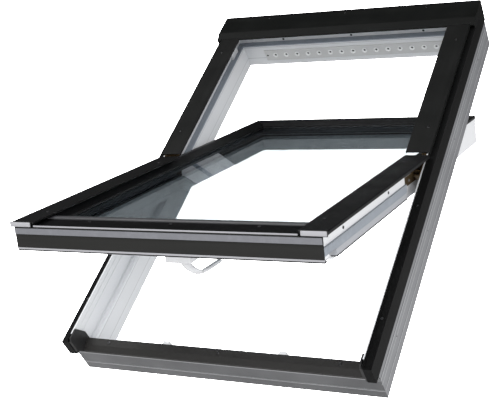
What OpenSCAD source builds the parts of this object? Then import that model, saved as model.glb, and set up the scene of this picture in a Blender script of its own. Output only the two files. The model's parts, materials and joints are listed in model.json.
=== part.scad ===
// Centre-pivot roof window: a PVC frame with dark aluminium cladding, and a
// double-glazed sash that turns about an axis just above the covers at mid-height.
//
// The window is drawn lying flat: X across, Y up the roof slope and Z out of the
// roof, with Z = 0 on the room side and X = Y = 0 at the middle of the frame.
// in_roof() tilts it to the roof's pitch and puts the origin at the middle of the
// sill's lower face. The sash is drawn closed, and sash_pose() turns it open.
// Paired pieces are drawn for the right-hand side (+X) and mirrored by on_side().

/* [Placing] */
// Pitch of the roof that the window stands in, degrees
roof_pitch = 45; // [15:1:85]
// How far the sash stands open, degrees
open_angle = 31.9; // [0:0.1:60]

/* [Frame] */
// Width over the frame's side faces
frame_w = 780; // [550:10:1340]
// Length over the frame's head and sill faces
frame_h = 1180; // [780:10:1600]
// Width of the frame profile at the room side
profile_w = 41; // [38:1:60]
// Height of the lining face, up to the rebate's shoulder
shoulder_z = 70; // [62:1:71]
// Width of the shoulder along the sides and the head
shoulder_w = 20; // [19:1:24]
// Width of the shoulder along the sill
sill_shoulder = 14; // [12:1:18]
// Height of the frame wall that carries the side channel
wall_top_z = 130; // [124:1:131]
// Thickness of the profile walls
wall_t = 3; // [2:0.5:3.5]
// Height of the thin upstand on the frame wall
upstand_h = 9; // [6:1:9]
// Height of the bare side face below the side channel
bare_side_h = 85.5; // [74:0.5:100]

/* [Cladding] */
// Thickness of the aluminium sheet
sheet_t = 1.8; // [1:0.1:2.2]
// How far the side channels run past the sill
channel_past = 20; // [14:1:26]
// How far below the frame's head end the side channels stop
channel_short = 45; // [30:1:80]
// Width of the long side covers
cover_w = 62; // [54:1:64]
// Distance from the frame's side face to the covers' outer edge
cover_inset = 11; // [8:1:12]
// Height of the covers' outer face above the room side
cover_z = 145; // [144:0.5:148]
// Height of the hood's outer face above the room side
hood_z = 153; // [151:0.5:160]
// Length of the hood's flat top up the slope
hood_flat = 73; // [60:1:110]
// Length of the hood's sloping front
hood_front = 23; // [15:1:40]
// Lower end of the upper covers above the window's middle
upper_cover_end = 12; // [10:1:40]
// Upper end of the lower covers above the window's middle
lower_cover_end = 8; // [-10:1:8]

/* [Sash] */
// Gap between the sash and the frame's lining
sash_gap = 3; // [2.5:0.5:5]
// Height of the sash's room face above the frame's
sash_z = 60; // [56:1:64]
// Thickness of the sash profile under the glass
sash_base_h = 32; // [30:1:34]
// Width of the sash stiles at the room side
stile_w = 52; // [44:1:60]
// Width of the top rail at the room side
top_rail_w = 81; // [66:1:96]
// Width of the bottom rail at the room side
bottom_rail_w = 66; // [62:1:80]
// Width of the sash's upright wall beside the glass
sash_wall = 14; // [12:0.5:16]
// How far the sash's lower edge reaches past the sill's face
sash_past = 44; // [40:1:48]
// Width of the strips that widen the sash's lower half
strip_w = 12; // [10:0.5:13]

/* [Glazing] */
// Thickness of each glass pane
pane_t = 4; // [3:1:5]
// Width of the gas space between the panes
gas_space = 16; // [12:1:17]
// Gap between the glass edge and the sash wall
glass_gap = 4; // [3:0.5:5]
// Width of the spacer bar
spacer_w = 7; // [6:0.5:9]
// Height of the gaskets that hold the glass
gasket_h = 3; // [2:0.5:3]

/* [Hinges] */
// Height of the turning axis above the room side
pivot_z = 150; // [150:0.5:152]
// Turning axis above the window's middle, up the slope
pivot_y = 2; // [0:0.5:4]
// Inner radius of the curved groove in the frame hinge
groove_r = 49.6; // [46:0.2:51]
// Width of the curved groove
groove_w = 10.4; // [8:0.2:10.8]
// Clearance of the curved shoe in its groove
shoe_gap = 0.4; // [0.3:0.05:0.6]
// Largest opening angle of the sash, degrees
open_max = 140; // [100:1:141]

/* [Handle] */
// Place of the handle's shaft across the window
handle_x = -8; // [-120:1:120]
// Length of the handle's grip
grip_l = 108; // [80:1:130]
// Radius of the handle's shaft
shaft_r = 6; // [5:0.5:6.5]
// Running clearance of the shaft in its base
shaft_gap = 0.05; // [0.02:0.01:0.09]
// Distance between the lock pins
pin_spacing = 300; // [200:10:420]
// Travel of the lock bar
lock_travel = 18; // [14:0.5:19]

/* [Ventilation] */
// Number of holes in the air grille
vent_count = 15; // [7:2:15]
// Distance from hole to hole
vent_pitch = 36; // [24:1:36]
// Radius of each hole
vent_r = 6.5; // [4:0.5:8]

/* [Hidden] */

pvc_white = "#e9eaec";
cladding_black = "#1f2121";
cladding_grey = "#35363a";
steel_grey = "#9a9da0";
rubber_dark = "#3a3b3e";
seal_grey = "#8c95a0";
cap_grey = "#a9acb1";
bronze = "#4a3b24";
glass_tint = "#9fb4c0";

half_w = frame_w / 2;
half_h = frame_h / 2;
lining_x = half_w - profile_w;
lining_y = half_h - profile_w;
wall_x = lining_x + shoulder_w;
wall_y = lining_y + shoulder_w;
sill_back_y = -lining_y - sill_shoulder;
upstand_z = wall_top_z + upstand_h;
floor_z = wall_top_z + sheet_t;
seat_z = shoulder_z / 2;
// Length that a cutting solid runs past what it cuts
past = 1;
// Gap between pieces that lie side by side without touching
fit_gap = 0.5;

module in_roof() {
    rotate([roof_pitch, 0, 0])
        translate([0, half_h, -seat_z])
            children();
}

module sash_pose() {
    in_roof()
        translate([0, pivot_y, pivot_z])
            rotate([-open_angle, 0, 0])
                translate([0, -pivot_y, -pivot_z])
                    children();
}

// A profile drawn in X and Z, run up the slope from y0 to y1.
module run_y(y0, y1) {
    translate([0, y1, 0])
        rotate([90, 0, 0])
            linear_extrude(y1 - y0)
                children();
}

// A profile drawn in Y and Z, run across from x0 to x1.
module run_x(x0, x1) {
    translate([x0, 0, 0])
        rotate([90, 0, 90])
            linear_extrude(x1 - x0)
                children();
}

// side 1 keeps a right-hand piece, and -1 mirrors it to the left.
module on_side(side) {
    if (side > 0) children();
    else mirror([1, 0, 0]) children();
}

module rect(x0, y0, x1, y1) {
    translate([x0, y0]) square([x1 - x0, y1 - y0]);
}

module block(low, high) {
    translate(low) cube(high - low);
}

// Turns a piece drawn along Z so that it points along +X, or down the slope.
module facing_x() {
    rotate([0, 90, 0]) children();
}

module facing_down_slope() {
    rotate([90, 0, 0]) children();
}

/* Screws ------------------------------------------------------------------ */

screw_head_r = 3.4;
screw_head_h = 1.6;
screw_r = 1.8;
screw_l = 9;
screw_play = 0.1;
flush_r = screw_head_r + screw_play;

// A pan-head screw that points along -Z, with its seat at the origin.
module screw() {
    cylinder(r = screw_head_r, h = screw_head_h, $fn = 32);
    translate([0, 0, -screw_l]) cylinder(r = screw_r, h = screw_l + screw_head_h / 2, $fn = 32);
}

module screw_hole() {
    translate([0, 0, -screw_l - past])
        cylinder(r = screw_r + screw_play, h = screw_l + 2 * past, $fn = 32);
}

/* Frame profile ----------------------------------------------------------- */

steel_t = 1.5;
chamber_x0 = lining_x + wall_t;
chamber_x1 = half_w - 5 * wall_t;
chamber_split_z = 21;
steel_z0 = chamber_split_z + wall_t;
steel_z1 = shoulder_z - wall_t;
rib_z = 27;
rib_w = 2;
rib_d = 1;
wall_groove_z0 = wall_top_z - 22;
wall_groove_z1 = wall_top_z - 16;
wall_line_z = wall_top_z - 5;
line_w = 1;
shoulder_lines = [7.5, 16.5];

// Walls and chambers up to the shoulder, drawn for the right jamb.
module lower_profile() {
    difference() {
        rect(lining_x, 0, half_w, shoulder_z);
        rect(chamber_x0, wall_t, chamber_x1, chamber_split_z);
        rect(chamber_x0, steel_z0, chamber_x1, steel_z1);
        rect(chamber_x1 + wall_t, wall_t, half_w - wall_t, shoulder_z - wall_t);
        for (x = shoulder_lines)
            translate([lining_x + x - line_w / 2, shoulder_z - rib_d]) square([line_w, rib_d + past]);
        rect(half_w - rib_d, rib_z - rib_w / 2, half_w + past, rib_z + rib_w / 2);
        rect(half_w - rib_d, shoulder_z - rib_w, half_w + past, shoulder_z + past);
    }
}

// The wall above the shoulder that carries the side channel.
module upper_profile() {
    difference() {
        union() {
            rect(wall_x, shoulder_z, half_w, wall_top_z);
            rect(wall_x, wall_top_z - wall_t, wall_x + wall_t, upstand_z);
        }
        rect(wall_x + wall_t, shoulder_z - past, half_w - wall_t, wall_top_z - wall_t);
        rect(wall_x - past, wall_groove_z0, wall_x + rib_d, wall_groove_z1);
        rect(wall_x - past, wall_line_z - line_w / 2, wall_x + rib_d, wall_line_z + line_w / 2);
    }
}

corner_slant = half_h - half_w;

// What lies beyond the 45 degree plane through a right-hand corner.
module beyond_mitre(end) {
    translate([0, 0, -past])
        linear_extrude(upstand_z + 2 * past)
            polygon([[0, end * corner_slant], [frame_w, end * (corner_slant + frame_w)],
                     [0, end * (corner_slant + frame_w)]]);
}

// What lies between the two corner planes of the head or of the sill.
module between_mitres(end) {
    translate([0, 0, -past])
        linear_extrude(upstand_z + 2 * past)
            polygon([[0, end * corner_slant], [frame_w, end * (corner_slant + frame_w)],
                     [-frame_w, end * (corner_slant + frame_w)]]);
}

// Turns a right-jamb profile into the head's, or the sill's.
module rail_profile(end) {
    mirror([end > 0 ? 0 : 1, 0])
        translate([corner_slant, 0])
            children();
}

bracket_z = 50;
bracket_end = 127;
bracket_mid = 155;
bracket_y = [-half_h + bracket_end, -bracket_mid, bracket_mid, half_h - bracket_end];
bracket_r = 2;

module bracket_holes() {
    for (y = bracket_y)
        translate([half_w - wall_t - past, y, bracket_z])
            facing_x()
                cylinder(r = bracket_r, h = wall_t + 2 * past, $fn = 32);
}

module jamb(side) {
    color(pvc_white)
        in_roof()
            on_side(side)
                difference() {
                    union() {
                        difference() {
                            run_y(-half_h, half_h) lower_profile();
                            beyond_mitre(1);
                            beyond_mitre(-1);
                        }
                        difference() {
                            run_y(-half_h, half_h) upper_profile();
                            beyond_mitre(1);
                        }
                    }
                    bracket_holes();
                    frame_hinge_screw_places() screw_hole();
                    channel_screw_places() screw_hole();
                }
}

vent_edge = 15;
vent_l = vent_count * vent_pitch + 2 * vent_edge;
vent_z0 = 17;
vent_z1 = 55;
vent_z = (vent_z0 + vent_z1) / 2;
vent_t = 2;
vent_screw_x = vent_l / 2 - 7;
vent_rim = 10;
duct_count = 5;
duct_pitch = 100;
duct_r = 3.5;
duct_low_z = 45;
duct_high_z = 105;

// Air ways from the filter's chamber to the outside, under the hood.
module air_ducts() {
    duct_y = half_h - 2.5 * wall_t;
    for (i = [0:duct_count - 1])
        translate([(i - (duct_count - 1) / 2) * duct_pitch, 0, 0]) {
            translate([0, duct_y, duct_low_z])
                facing_down_slope()
                    cylinder(r = duct_r, h = 4 * wall_t, $fn = 32);
            translate([0, duct_y, duct_low_z])
                cylinder(r = duct_r, h = duct_high_z - duct_low_z, $fn = 32);
            translate([0, half_h + past, duct_high_z])
                facing_down_slope()
                    cylinder(r = duct_r, h = 2 * wall_t, $fn = 32);
        }
}

module frame_head() {
    color(pvc_white)
        in_roof()
            difference() {
                union() {
                    intersection() {
                        run_x(-half_w, half_w) rail_profile(1) lower_profile();
                        between_mitres(1);
                    }
                    intersection() {
                        run_x(-half_w, half_w) rail_profile(1) upper_profile();
                        between_mitres(1);
                    }
                }
                block([-vent_l / 2 + vent_rim, lining_y - past, vent_z0 + vent_rim],
                      [vent_l / 2 - vent_rim, lining_y + wall_t + past, vent_z1 - vent_rim]);
                air_ducts();
                ledge_screw_places() screw_hole();
            }
}

block_t = 4.5;
sill_front_z = shoulder_z + 1.5;
sill_fold_y = -half_h + 11;
sill_fold_z = shoulder_z + 11;
sill_back_z = shoulder_z + 15;
sill_half_l = wall_x - block_t;
sill_slope = atan2(sill_back_z - sill_fold_z, sill_back_y + sheet_t - sill_fold_y);
sill_screw_x = [-half_w + 92, 0, half_w - 92];
sill_screw_y = 9;

module sill_screw_places() {
    for (x = sill_screw_x)
        translate([x, sill_fold_y, sill_fold_z + sheet_t])
            rotate([sill_slope, 0, 0])
                translate([0, sill_screw_y, 0])
                    children();
}

// The sill's low wall, which its cladding covers.
module sill_wall() {
    difference() {
        polygon([[-half_h, shoulder_z], [-half_h, sill_front_z], [sill_fold_y, sill_fold_z],
                 [sill_back_y, sill_back_z], [sill_back_y, shoulder_z]]);
        rect(sill_fold_y, shoulder_z, sill_back_y - wall_t, sill_fold_z - wall_t);
    }
}

module frame_sill() {
    color(pvc_white)
        in_roof()
            difference() {
                union() {
                    intersection() {
                        run_x(-half_w, half_w) {
                            rail_profile(-1) lower_profile();
                            rect(sill_fold_y, shoulder_z - wall_t, sill_back_y, shoulder_z);
                        }
                        between_mitres(-1);
                    }
                    run_x(-sill_half_l, sill_half_l) sill_wall();
                }
                sill_screw_places() screw_hole();
                for (side = [-1, 1])
                    striker_screw_place(side) screw_hole();
            }
}

module jamb_steel(side) {
    color(steel_grey)
        in_roof()
            on_side(side)
                run_y(-lining_y, lining_y)
                    difference() {
                        rect(chamber_x0, steel_z0, chamber_x1, steel_z1);
                        rect(chamber_x0 + steel_t, steel_z0 + steel_t,
                             chamber_x1 - steel_t, steel_z1 - steel_t);
                    }
}

/* Frame cladding ---------------------------------------------------------- */

channel_out = half_w + sheet_t;
channel_in = wall_x + wall_t;
channel_low = -half_h - channel_past;
channel_high = half_h - channel_short;
channel_screw_y = [-half_h + 112, -half_h + 440];
channel_screw_x = half_w - 9;

module channel_screw_places() {
    for (y = channel_screw_y)
        translate([channel_screw_x, y, floor_z]) children();
}

module side_channel(side) {
    color(cladding_grey)
        in_roof()
            on_side(side)
                difference() {
                    union() {
                        run_y(channel_low, channel_high) {
                            rect(half_w, bare_side_h, channel_out, floor_z);
                            rect(channel_in, wall_top_z, channel_out, floor_z);
                            rect(channel_in, wall_top_z, channel_in + sheet_t, upstand_z - past);
                        }
                        block([channel_in, channel_low, bare_side_h],
                              [channel_out, channel_low + sheet_t, floor_z]);
                    }
                    channel_screw_places() screw_hole();
                }
}

sill_lip = 3;
sill_leg = 8;
sill_clad_half_l = sill_half_l - fit_gap;

module sill_cladding() {
    color(cladding_grey)
        in_roof()
            difference() {
                run_x(-sill_clad_half_l, sill_clad_half_l)
                    polygon([[-half_h, sill_front_z - sill_lip], [-half_h, sill_front_z],
                             [sill_fold_y, sill_fold_z], [sill_back_y, sill_back_z],
                             [sill_back_y, sill_back_z - sill_leg],
                             [sill_back_y + sheet_t, sill_back_z - sill_leg],
                             [sill_back_y + sheet_t, sill_back_z + sheet_t],
                             [sill_fold_y, sill_fold_z + sheet_t],
                             [-half_h - sheet_t, sill_front_z + sheet_t],
                             [-half_h - sheet_t, sill_front_z - sill_lip]]);
                sill_screw_places() screw_hole();
            }
}

block_l = 34;
block_low_y = channel_low + sheet_t;

// Dark moulded piece that closes the jamb's wall and the channel at the sill.
module corner_block(side) {
    color(rubber_dark)
        in_roof()
            on_side(side)
                union() {
                    run_x(wall_x - block_t, wall_x)
                        polygon([[block_low_y, wall_top_z - block_l], [-half_h, shoulder_z],
                                 [-half_h + block_l, shoulder_z], [-half_h + block_l, wall_top_z - 26],
                                 [-half_h + 15, upstand_z], [block_low_y + 6, upstand_z],
                                 [block_low_y, wall_top_z]]);
                    block([wall_x - past, block_low_y, bare_side_h], [half_w, -half_h, wall_top_z]);
                }
}

hood_back_y = half_h + sheet_t;
hood_fold_y = hood_back_y - hood_flat;
hood_low_y = hood_fold_y - hood_front;
hood_low_z = cover_z - fit_gap;
hood_lip_z = upstand_z + 1.5;
hood_screw_x = [-0.31 * frame_w, 0, 0.31 * frame_w];
hood_screw_y = half_h - 13;
cover_out = half_w - cover_inset;
cover_in = cover_out - cover_w;
cover_under = cover_z - sheet_t;

module hood_screw_places() {
    for (x = hood_screw_x)
        translate([x, hood_screw_y, hood_z]) children();
}

// Outline of the hood's sheet, seen along X.
module hood_sheet() {
    polygon([[hood_back_y, bare_side_h], [hood_back_y, hood_z], [hood_fold_y, hood_z],
             [hood_low_y, hood_low_z], [hood_low_y, hood_lip_z], [hood_low_y + sheet_t, hood_lip_z],
             [hood_low_y + sheet_t, hood_low_z - sheet_t / 2], [hood_fold_y + sheet_t / 2, hood_z - sheet_t],
             [half_h, hood_z - sheet_t], [half_h, bare_side_h]]);
}

module hood_end() {
    polygon([[hood_back_y, bare_side_h], [hood_back_y, hood_z], [hood_fold_y, hood_z],
             [hood_low_y, hood_low_z], [hood_low_y, floor_z + fit_gap],
             [channel_high + fit_gap, floor_z + fit_gap], [channel_high + fit_gap, bare_side_h]]);
}

module head_hood() {
    color(cladding_black)
        in_roof()
            difference() {
                union() {
                    run_x(-channel_out, channel_out) hood_sheet();
                    for (side = [-1, 1])
                        on_side(side)
                            run_x(half_w, channel_out) hood_end();
                }
                for (side = [-1, 1])
                    on_side(side)
                        block([cover_in - fit_gap, hood_low_y - past, floor_z],
                              [cover_out + fit_gap, hood_fold_y, cover_z + fit_gap]);
                hood_screw_places() screw_hole();
            }
}

support_w = 24;

// Plastic blocks that carry the hood over the head's wall.
module hood_supports() {
    color(rubber_dark)
        in_roof()
            difference() {
                for (x = hood_screw_x)
                    block([x - support_w / 2, wall_y + 2 * wall_t, wall_top_z],
                          [x + support_w / 2, half_h, hood_z - sheet_t]);
                hood_screw_places() screw_hole();
            }
}

curl_r = 3;
curl_drop = 8;
cover_lip = 4;

// The plate of a long side cover, with its outer edge curled down.
module cover_plate() {
    difference() {
        union() {
            rect(cover_in, cover_under, cover_out - curl_r, cover_z);
            translate([cover_out - curl_r, cover_z - curl_r]) circle(r = curl_r, $fn = 32);
            rect(cover_out - sheet_t, cover_z - curl_drop, cover_out, cover_z - curl_r);
            rect(cover_in, cover_z - cover_lip, cover_in + sheet_t, cover_z);
        }
        translate([cover_out - curl_r, cover_z - curl_r]) circle(r = curl_r - sheet_t, $fn = 32);
        rect(cover_out - 2 * curl_r - past, cover_z - curl_drop, cover_out - sheet_t, cover_z - curl_r);
        rect(cover_out - 2 * curl_r - past, cover_z - curl_drop, cover_out - curl_r, cover_under);
    }
}

cover_leg_x = channel_in + sheet_t + fit_gap;
upper_cover_high = hood_fold_y + 20;
upper_screw_x = lining_x + 5;
upper_screw_y = [upper_cover_end + 88, hood_low_y - 60];

module upper_screw_places() {
    for (y = upper_screw_y)
        translate([upper_screw_x, y, cover_z]) children();
}

module upper_cover(side) {
    color(cladding_black)
        in_roof()
            on_side(side)
                difference() {
                    run_y(upper_cover_end, upper_cover_high) {
                        cover_plate();
                        rect(cover_leg_x, floor_z, cover_leg_x + sheet_t, cover_under + past);
                        rect(wall_x, upstand_z, wall_x + sheet_t, cover_under + past);
                    }
                    upper_screw_places() screw_hole();
                }
}

gasket_edge = 1;
frame_gasket_low = pivot_y + 73;

// U-shaped gasket on the shoulder, along the upper half and the head.
module frame_gasket() {
    x0 = lining_x + gasket_edge;
    x1 = wall_x - gasket_edge;
    y0 = lining_y + gasket_edge;
    y1 = wall_y - gasket_edge;
    color(seal_grey)
        in_roof()
            translate([0, 0, shoulder_z])
                linear_extrude(gasket_h)
                    difference() {
                        rect(-x1, frame_gasket_low, x1, y1);
                        rect(-x0, frame_gasket_low - past, x0, y0);
                    }
}

module vent_grille() {
    color(pvc_white)
        in_roof()
            difference() {
                block([-vent_l / 2, lining_y - vent_t, vent_z0], [vent_l / 2, lining_y, vent_z1]);
                for (i = [0:vent_count - 1])
                    translate([(i - (vent_count - 1) / 2) * vent_pitch, lining_y + past, vent_z])
                        facing_down_slope()
                            cylinder(r = vent_r, h = vent_t + 2 * past, $fn = 48);
                for (x = [-vent_screw_x, vent_screw_x])
                    translate([x, lining_y + past, vent_z])
                        facing_down_slope()
                            cylinder(r = flush_r, h = vent_t + 2 * past, $fn = 32);
            }
}

module vent_filter() {
    color(rubber_dark)
        in_roof()
            block([-vent_l / 2 + 2 * vent_rim, lining_y + wall_t, steel_z0],
                  [vent_l / 2 - 2 * vent_rim, half_h - 5 * wall_t, vent_z1 - vent_rim]);
}

ledge_screw_z = shoulder_z + 9;
ledge_screw_x = [-0.28 * frame_w, 0, 0.28 * frame_w];

module ledge_screw_places() {
    for (x = ledge_screw_x)
        translate([x, wall_y, ledge_screw_z])
            facing_down_slope()
                children();
}

stop_l = 40;
stop_w = 9;

// Guide block for the sash on the left-hand jamb, near the head.
module side_stop() {
    color(pvc_white)
        in_roof()
            block([-wall_x, wall_y - 2 * stop_l, shoulder_z + gasket_h],
                  [-wall_x + stop_w, wall_y - stop_l, shoulder_z + gasket_h + 2 * stop_w]);
}

/* Turning hinges ---------------------------------------------------------- */

shoe_half = 9;
rail_half = open_max / 2 + shoe_half;
guide_t = 3;
groove_out_r = groove_r + groove_w;
hinge_plate_t = 3;
hinge_side_gap = 2;
sash_plate_t = 4;
sash_half_w = lining_x - sash_gap;
hinge_rail_x = sash_half_w + sash_plate_t + hinge_side_gap;

// Part of a disc about the turning axis, in Y and Z. Angles start straight down
// towards the room and grow down the slope.
module sector(radius, from, to) {
    reach = 2 * radius;
    steps = 6;
    intersection() {
        circle(r = radius, $fn = 128);
        polygon(concat([[0, 0]],
            [for (i = [0:steps])
                let (a = from + (to - from) * i / steps)
                [-reach * sin(a), -reach * cos(a)]]));
    }
}

module arc_band(inner, outer, from, to) {
    difference() {
        sector(outer, from, to);
        circle(r = inner, $fn = 128);
    }
}

module about_axis(x0, x1) {
    translate([0, pivot_y, pivot_z]) run_x(x0, x1) children();
}

plate_half_l = groove_out_r + guide_t + 3;
plate_low = shoulder_z + gasket_h + past;
plate_screw_y = groove_out_r - 3;
plate_screw_z = plate_low + 6;
plate_screw_top = 14;

module frame_hinge_screw_places() {
    for (yz = [[-plate_screw_y, plate_screw_z], [plate_screw_y, plate_screw_z],
               [0, pivot_z - groove_r + plate_screw_top]])
        translate([wall_x - hinge_plate_t, pivot_y + yz[0], yz[1]])
            rotate([0, -90, 0])
                children();
}

module frame_hinge(side) {
    color(bronze)
        in_roof()
            on_side(side)
                difference() {
                    union() {
                        block([wall_x - hinge_plate_t, pivot_y - plate_half_l, plate_low],
                              [wall_x, pivot_y + plate_half_l, upstand_z]);
                        about_axis(hinge_rail_x, wall_x - hinge_plate_t / 2) {
                            arc_band(groove_r - guide_t, groove_r, -rail_half, rail_half);
                            arc_band(groove_out_r, groove_out_r + guide_t, -rail_half, rail_half);
                        }
                    }
                    frame_hinge_screw_places() screw_hole();
                }
}

shoe_out_r = groove_out_r - shoe_gap;
shoe_in_r = groove_r + shoe_gap;
shoe_at = -open_max / 2;
// The hinge plate stays below the covers, where its upper edge comes nearest to them.
axis_clear_r = (pivot_z - cover_under + fit_gap) / cos(shoe_at);
tail_l = 122;
tail_z0 = 92;
tail_z1 = 114;
tail_screw_y = [-tail_l + 10, -tail_l + 50, 24];

module sash_hinge_screw_places() {
    for (y = tail_screw_y)
        translate([sash_half_w + sash_plate_t, y, (tail_z0 + tail_z1) / 2])
            facing_x() children();
}

// Plate on the sash's side, with the curved shoe that rides in the frame hinge.
module sash_hinge(side) {
    color(bronze)
        sash_pose()
            on_side(side)
                difference() {
                    union() {
                        about_axis(sash_half_w, sash_half_w + sash_plate_t) {
                            arc_band(axis_clear_r, shoe_out_r, shoe_at + 2 * shoe_half, -shoe_at);
                            arc_band(shoe_in_r - guide_t, shoe_out_r, shoe_at - shoe_half, 0);
                        }
                        block([sash_half_w, -tail_l, tail_z0], [sash_half_w + sash_plate_t, 0, tail_z1]);
                        about_axis(sash_half_w + sash_plate_t / 2, wall_x - hinge_plate_t - shoe_gap)
                            arc_band(shoe_in_r, shoe_out_r, shoe_at - shoe_half, shoe_at + shoe_half);
                    }
                    sash_hinge_screw_places() screw_hole();
                }
}

/* Sash profile ------------------------------------------------------------ */

sash_half_h = lining_y - sash_gap;
glass_seat_z = sash_z + sash_base_h;
inner_pane_z = glass_seat_z + gasket_h;
outer_pane_z = inner_pane_z + pane_t + gas_space;
glass_top_z = outer_pane_z + pane_t;
sash_wall_z = glass_top_z + 10;
stile_in = sash_half_w - stile_w;
rail_in = sash_half_h - top_rail_w;
low_rail_in = -sash_half_h + bottom_rail_w;
wall_in = sash_half_w - sash_wall;
wall_in_y = sash_half_h - sash_wall;
sill_clear = 2.7;
over_z = sill_back_z + sheet_t + sill_clear;
fascia_y = -half_h - sash_past;
rail_face_y = fascia_y + sheet_t;
low_wall_y = -sash_half_h - 11;

// Outline of a sash stile, and its two chambers, drawn for the right side.
module stile_outline() {
    rect(stile_in, sash_z, sash_half_w, glass_seat_z);
    rect(wall_in, glass_seat_z, sash_half_w, sash_wall_z);
}

module stile_chambers() {
    rect(stile_in + wall_t, sash_z + wall_t, sash_half_w - wall_t, glass_seat_z - wall_t);
    rect(wall_in + wall_t, glass_seat_z, sash_half_w - wall_t, sash_wall_z - wall_t);
}

module sash_stile(side) {
    color(pvc_white)
        sash_pose()
            on_side(side)
                difference() {
                    run_y(-sash_half_h, sash_half_h) stile_outline();
                    run_y(-sash_half_h + wall_t, sash_half_h - wall_t) stile_chambers();
                    sash_hinge_screw_places() screw_hole();
                }
}

module sash_top_rail() {
    color(pvc_white)
        sash_pose()
            difference() {
                union() {
                    block([-stile_in, rail_in, sash_z], [stile_in, sash_half_h, glass_seat_z]);
                    block([-wall_in, wall_in_y, glass_seat_z], [wall_in, sash_half_h, sash_wall_z]);
                }
                block([-stile_in + wall_t, rail_in + wall_t, sash_z + wall_t],
                      [stile_in - wall_t, sash_half_h - wall_t, glass_seat_z - wall_t]);
                block([-wall_in + wall_t, wall_in_y + wall_t, glass_seat_z],
                      [wall_in - wall_t, sash_half_h - wall_t, sash_wall_z - wall_t]);
            }
}

shaft_y = -lining_y + 26.5;
crank_r = lock_travel / 2 / sin(45);
crank_end_r = 3.5;
lock_wall = 10;
bar_t = 3.5;
bar_gap = 0.3;
bar_z0 = 76;
bar_z1 = 84;
bar_half_l = pin_spacing / 2 + 50;
bar_face_y = -sash_half_h + bar_gap;
bar_slot_y = bar_face_y + bar_t + bar_gap;
fork_half_w = 8;
gear_half_w = lock_travel / 2 + fork_half_w + 2;
gear_y = shaft_y - crank_r - crank_end_r - 2;
nose_w = 24;
nose_h = 12.5;
nose_y = rail_face_y + nose_w / 2;

// Section of the bottom rail: a block beside the glass and a wide part over the sill.
module bottom_rail_outline() {
    rect(rail_face_y, over_z, low_wall_y, sash_wall_z);
    rect(rail_face_y, over_z, -sash_half_h, glass_seat_z);
    rect(nose_y, over_z - nose_h, nose_y + nose_w, over_z);
}

module bottom_rail_chambers() {
    mid = (rail_face_y + low_wall_y) / 2;
    rect(rail_face_y + wall_t, over_z + wall_t, mid - wall_t / 2, sash_wall_z - wall_t);
    rect(mid + wall_t / 2, over_z + wall_t, low_wall_y - wall_t, sash_wall_z - wall_t);
}

module sash_bottom_rail() {
    color(pvc_white)
        sash_pose()
            difference() {
                union() {
                    run_x(-sash_half_w, sash_half_w) bottom_rail_outline();
                    block([-stile_in, -sash_half_h, sash_z], [stile_in, low_rail_in, glass_seat_z]);
                }
                run_x(-sash_half_w + wall_t, sash_half_w - wall_t) bottom_rail_chambers();
                block([-stile_in + wall_t, -sash_half_h + lock_wall, sash_z + wall_t],
                      [stile_in - wall_t, low_rail_in - wall_t, glass_seat_z - wall_t]);
                block([-bar_half_l - lock_travel, -sash_half_h - past, bar_z0 - bar_gap],
                      [bar_half_l + lock_travel, bar_slot_y, bar_z1 + bar_gap]);
                block([handle_x - gear_half_w, bar_slot_y - past, bar_z0 - bar_gap],
                      [handle_x + gear_half_w, gear_y + past, bar_z1 + bar_gap]);
                block([handle_x - gear_half_w, gear_y, sash_z + wall_t],
                      [handle_x + gear_half_w, -sash_half_h + lock_wall + past, glass_seat_z - wall_t]);
                translate([handle_x, shaft_y, sash_z - past])
                    cylinder(r = shaft_r + 2, h = wall_t + 2 * past, $fn = 48);
                fascia_screw_places() screw_hole();
            }
}

module stile_steel(side) {
    color(steel_grey)
        sash_pose()
            on_side(side)
                run_y(-rail_in, rail_in)
                    difference() {
                        rect(stile_in + wall_t, sash_z + wall_t, stile_in + 38, glass_seat_z - wall_t);
                        rect(stile_in + wall_t + steel_t, sash_z + wall_t + steel_t,
                             stile_in + 38 - steel_t, glass_seat_z - wall_t - steel_t);
                    }
}

strip_high_y = -tail_l - 3;
strip_low_z = shoulder_z + 3.5;
strip_flange = 14;
strip_out = sash_half_w + strip_w;
strip_flange_out = strip_out + 4;
strip_top_z = sash_wall_z - 4;
strip_turn_y = sill_back_y + sheet_t + fit_gap;
strip_screw_y = [rail_face_y + 124, rail_face_y + 395];

module strip_screw_places() {
    for (y = strip_screw_y)
        translate([strip_out, y, (strip_top_z + seal_z1) / 2])
            facing_x() children();
}

// White strip that widens the lower half of the sash.
module side_strip(side) {
    color(pvc_white)
        sash_pose()
            on_side(side)
                difference() {
                    union() {
                        run_y(rail_face_y, strip_high_y)
                            rect(sash_half_w, over_z, strip_out, strip_top_z);
                        run_y(strip_turn_y, strip_high_y) {
                            rect(sash_half_w, strip_low_z, strip_out, over_z);
                            rect(sash_half_w, strip_low_z, strip_flange_out, strip_low_z + strip_flange);
                        }
                        block([sash_half_w, nose_y, over_z - nose_h], [strip_out, nose_y + nose_w, over_z]);
                    }
                    run_y(rail_face_y + wall_t, strip_high_y - wall_t)
                        rect(sash_half_w + wall_t, over_z + wall_t,
                             strip_out - wall_t, strip_top_z - wall_t);
                    strip_screw_places() screw_hole();
                }
}

seal_z0 = strip_low_z + strip_flange;
seal_z1 = 106;
seal_w = 5;

module side_seal(side) {
    color(seal_grey)
        sash_pose()
            on_side(side) {
                run_y(strip_turn_y, strip_high_y - past)
                    rect(strip_out, seal_z0, strip_out + seal_w, over_z);
                run_y(rail_face_y + past, strip_high_y - past)
                    rect(strip_out, over_z, strip_out + seal_w, seal_z1);
            }
}

// Soft seal under the side strips, just clear of the shoulder.
module sash_gasket() {
    color(rubber_dark)
        sash_pose()
            for (side = [-1, 1])
                on_side(side)
                    run_y(strip_turn_y + past, strip_high_y - past)
                        rect(sash_half_w + 2 * past, shoulder_z + fit_gap,
                             strip_flange_out + fit_gap, strip_low_z);
}

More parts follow.
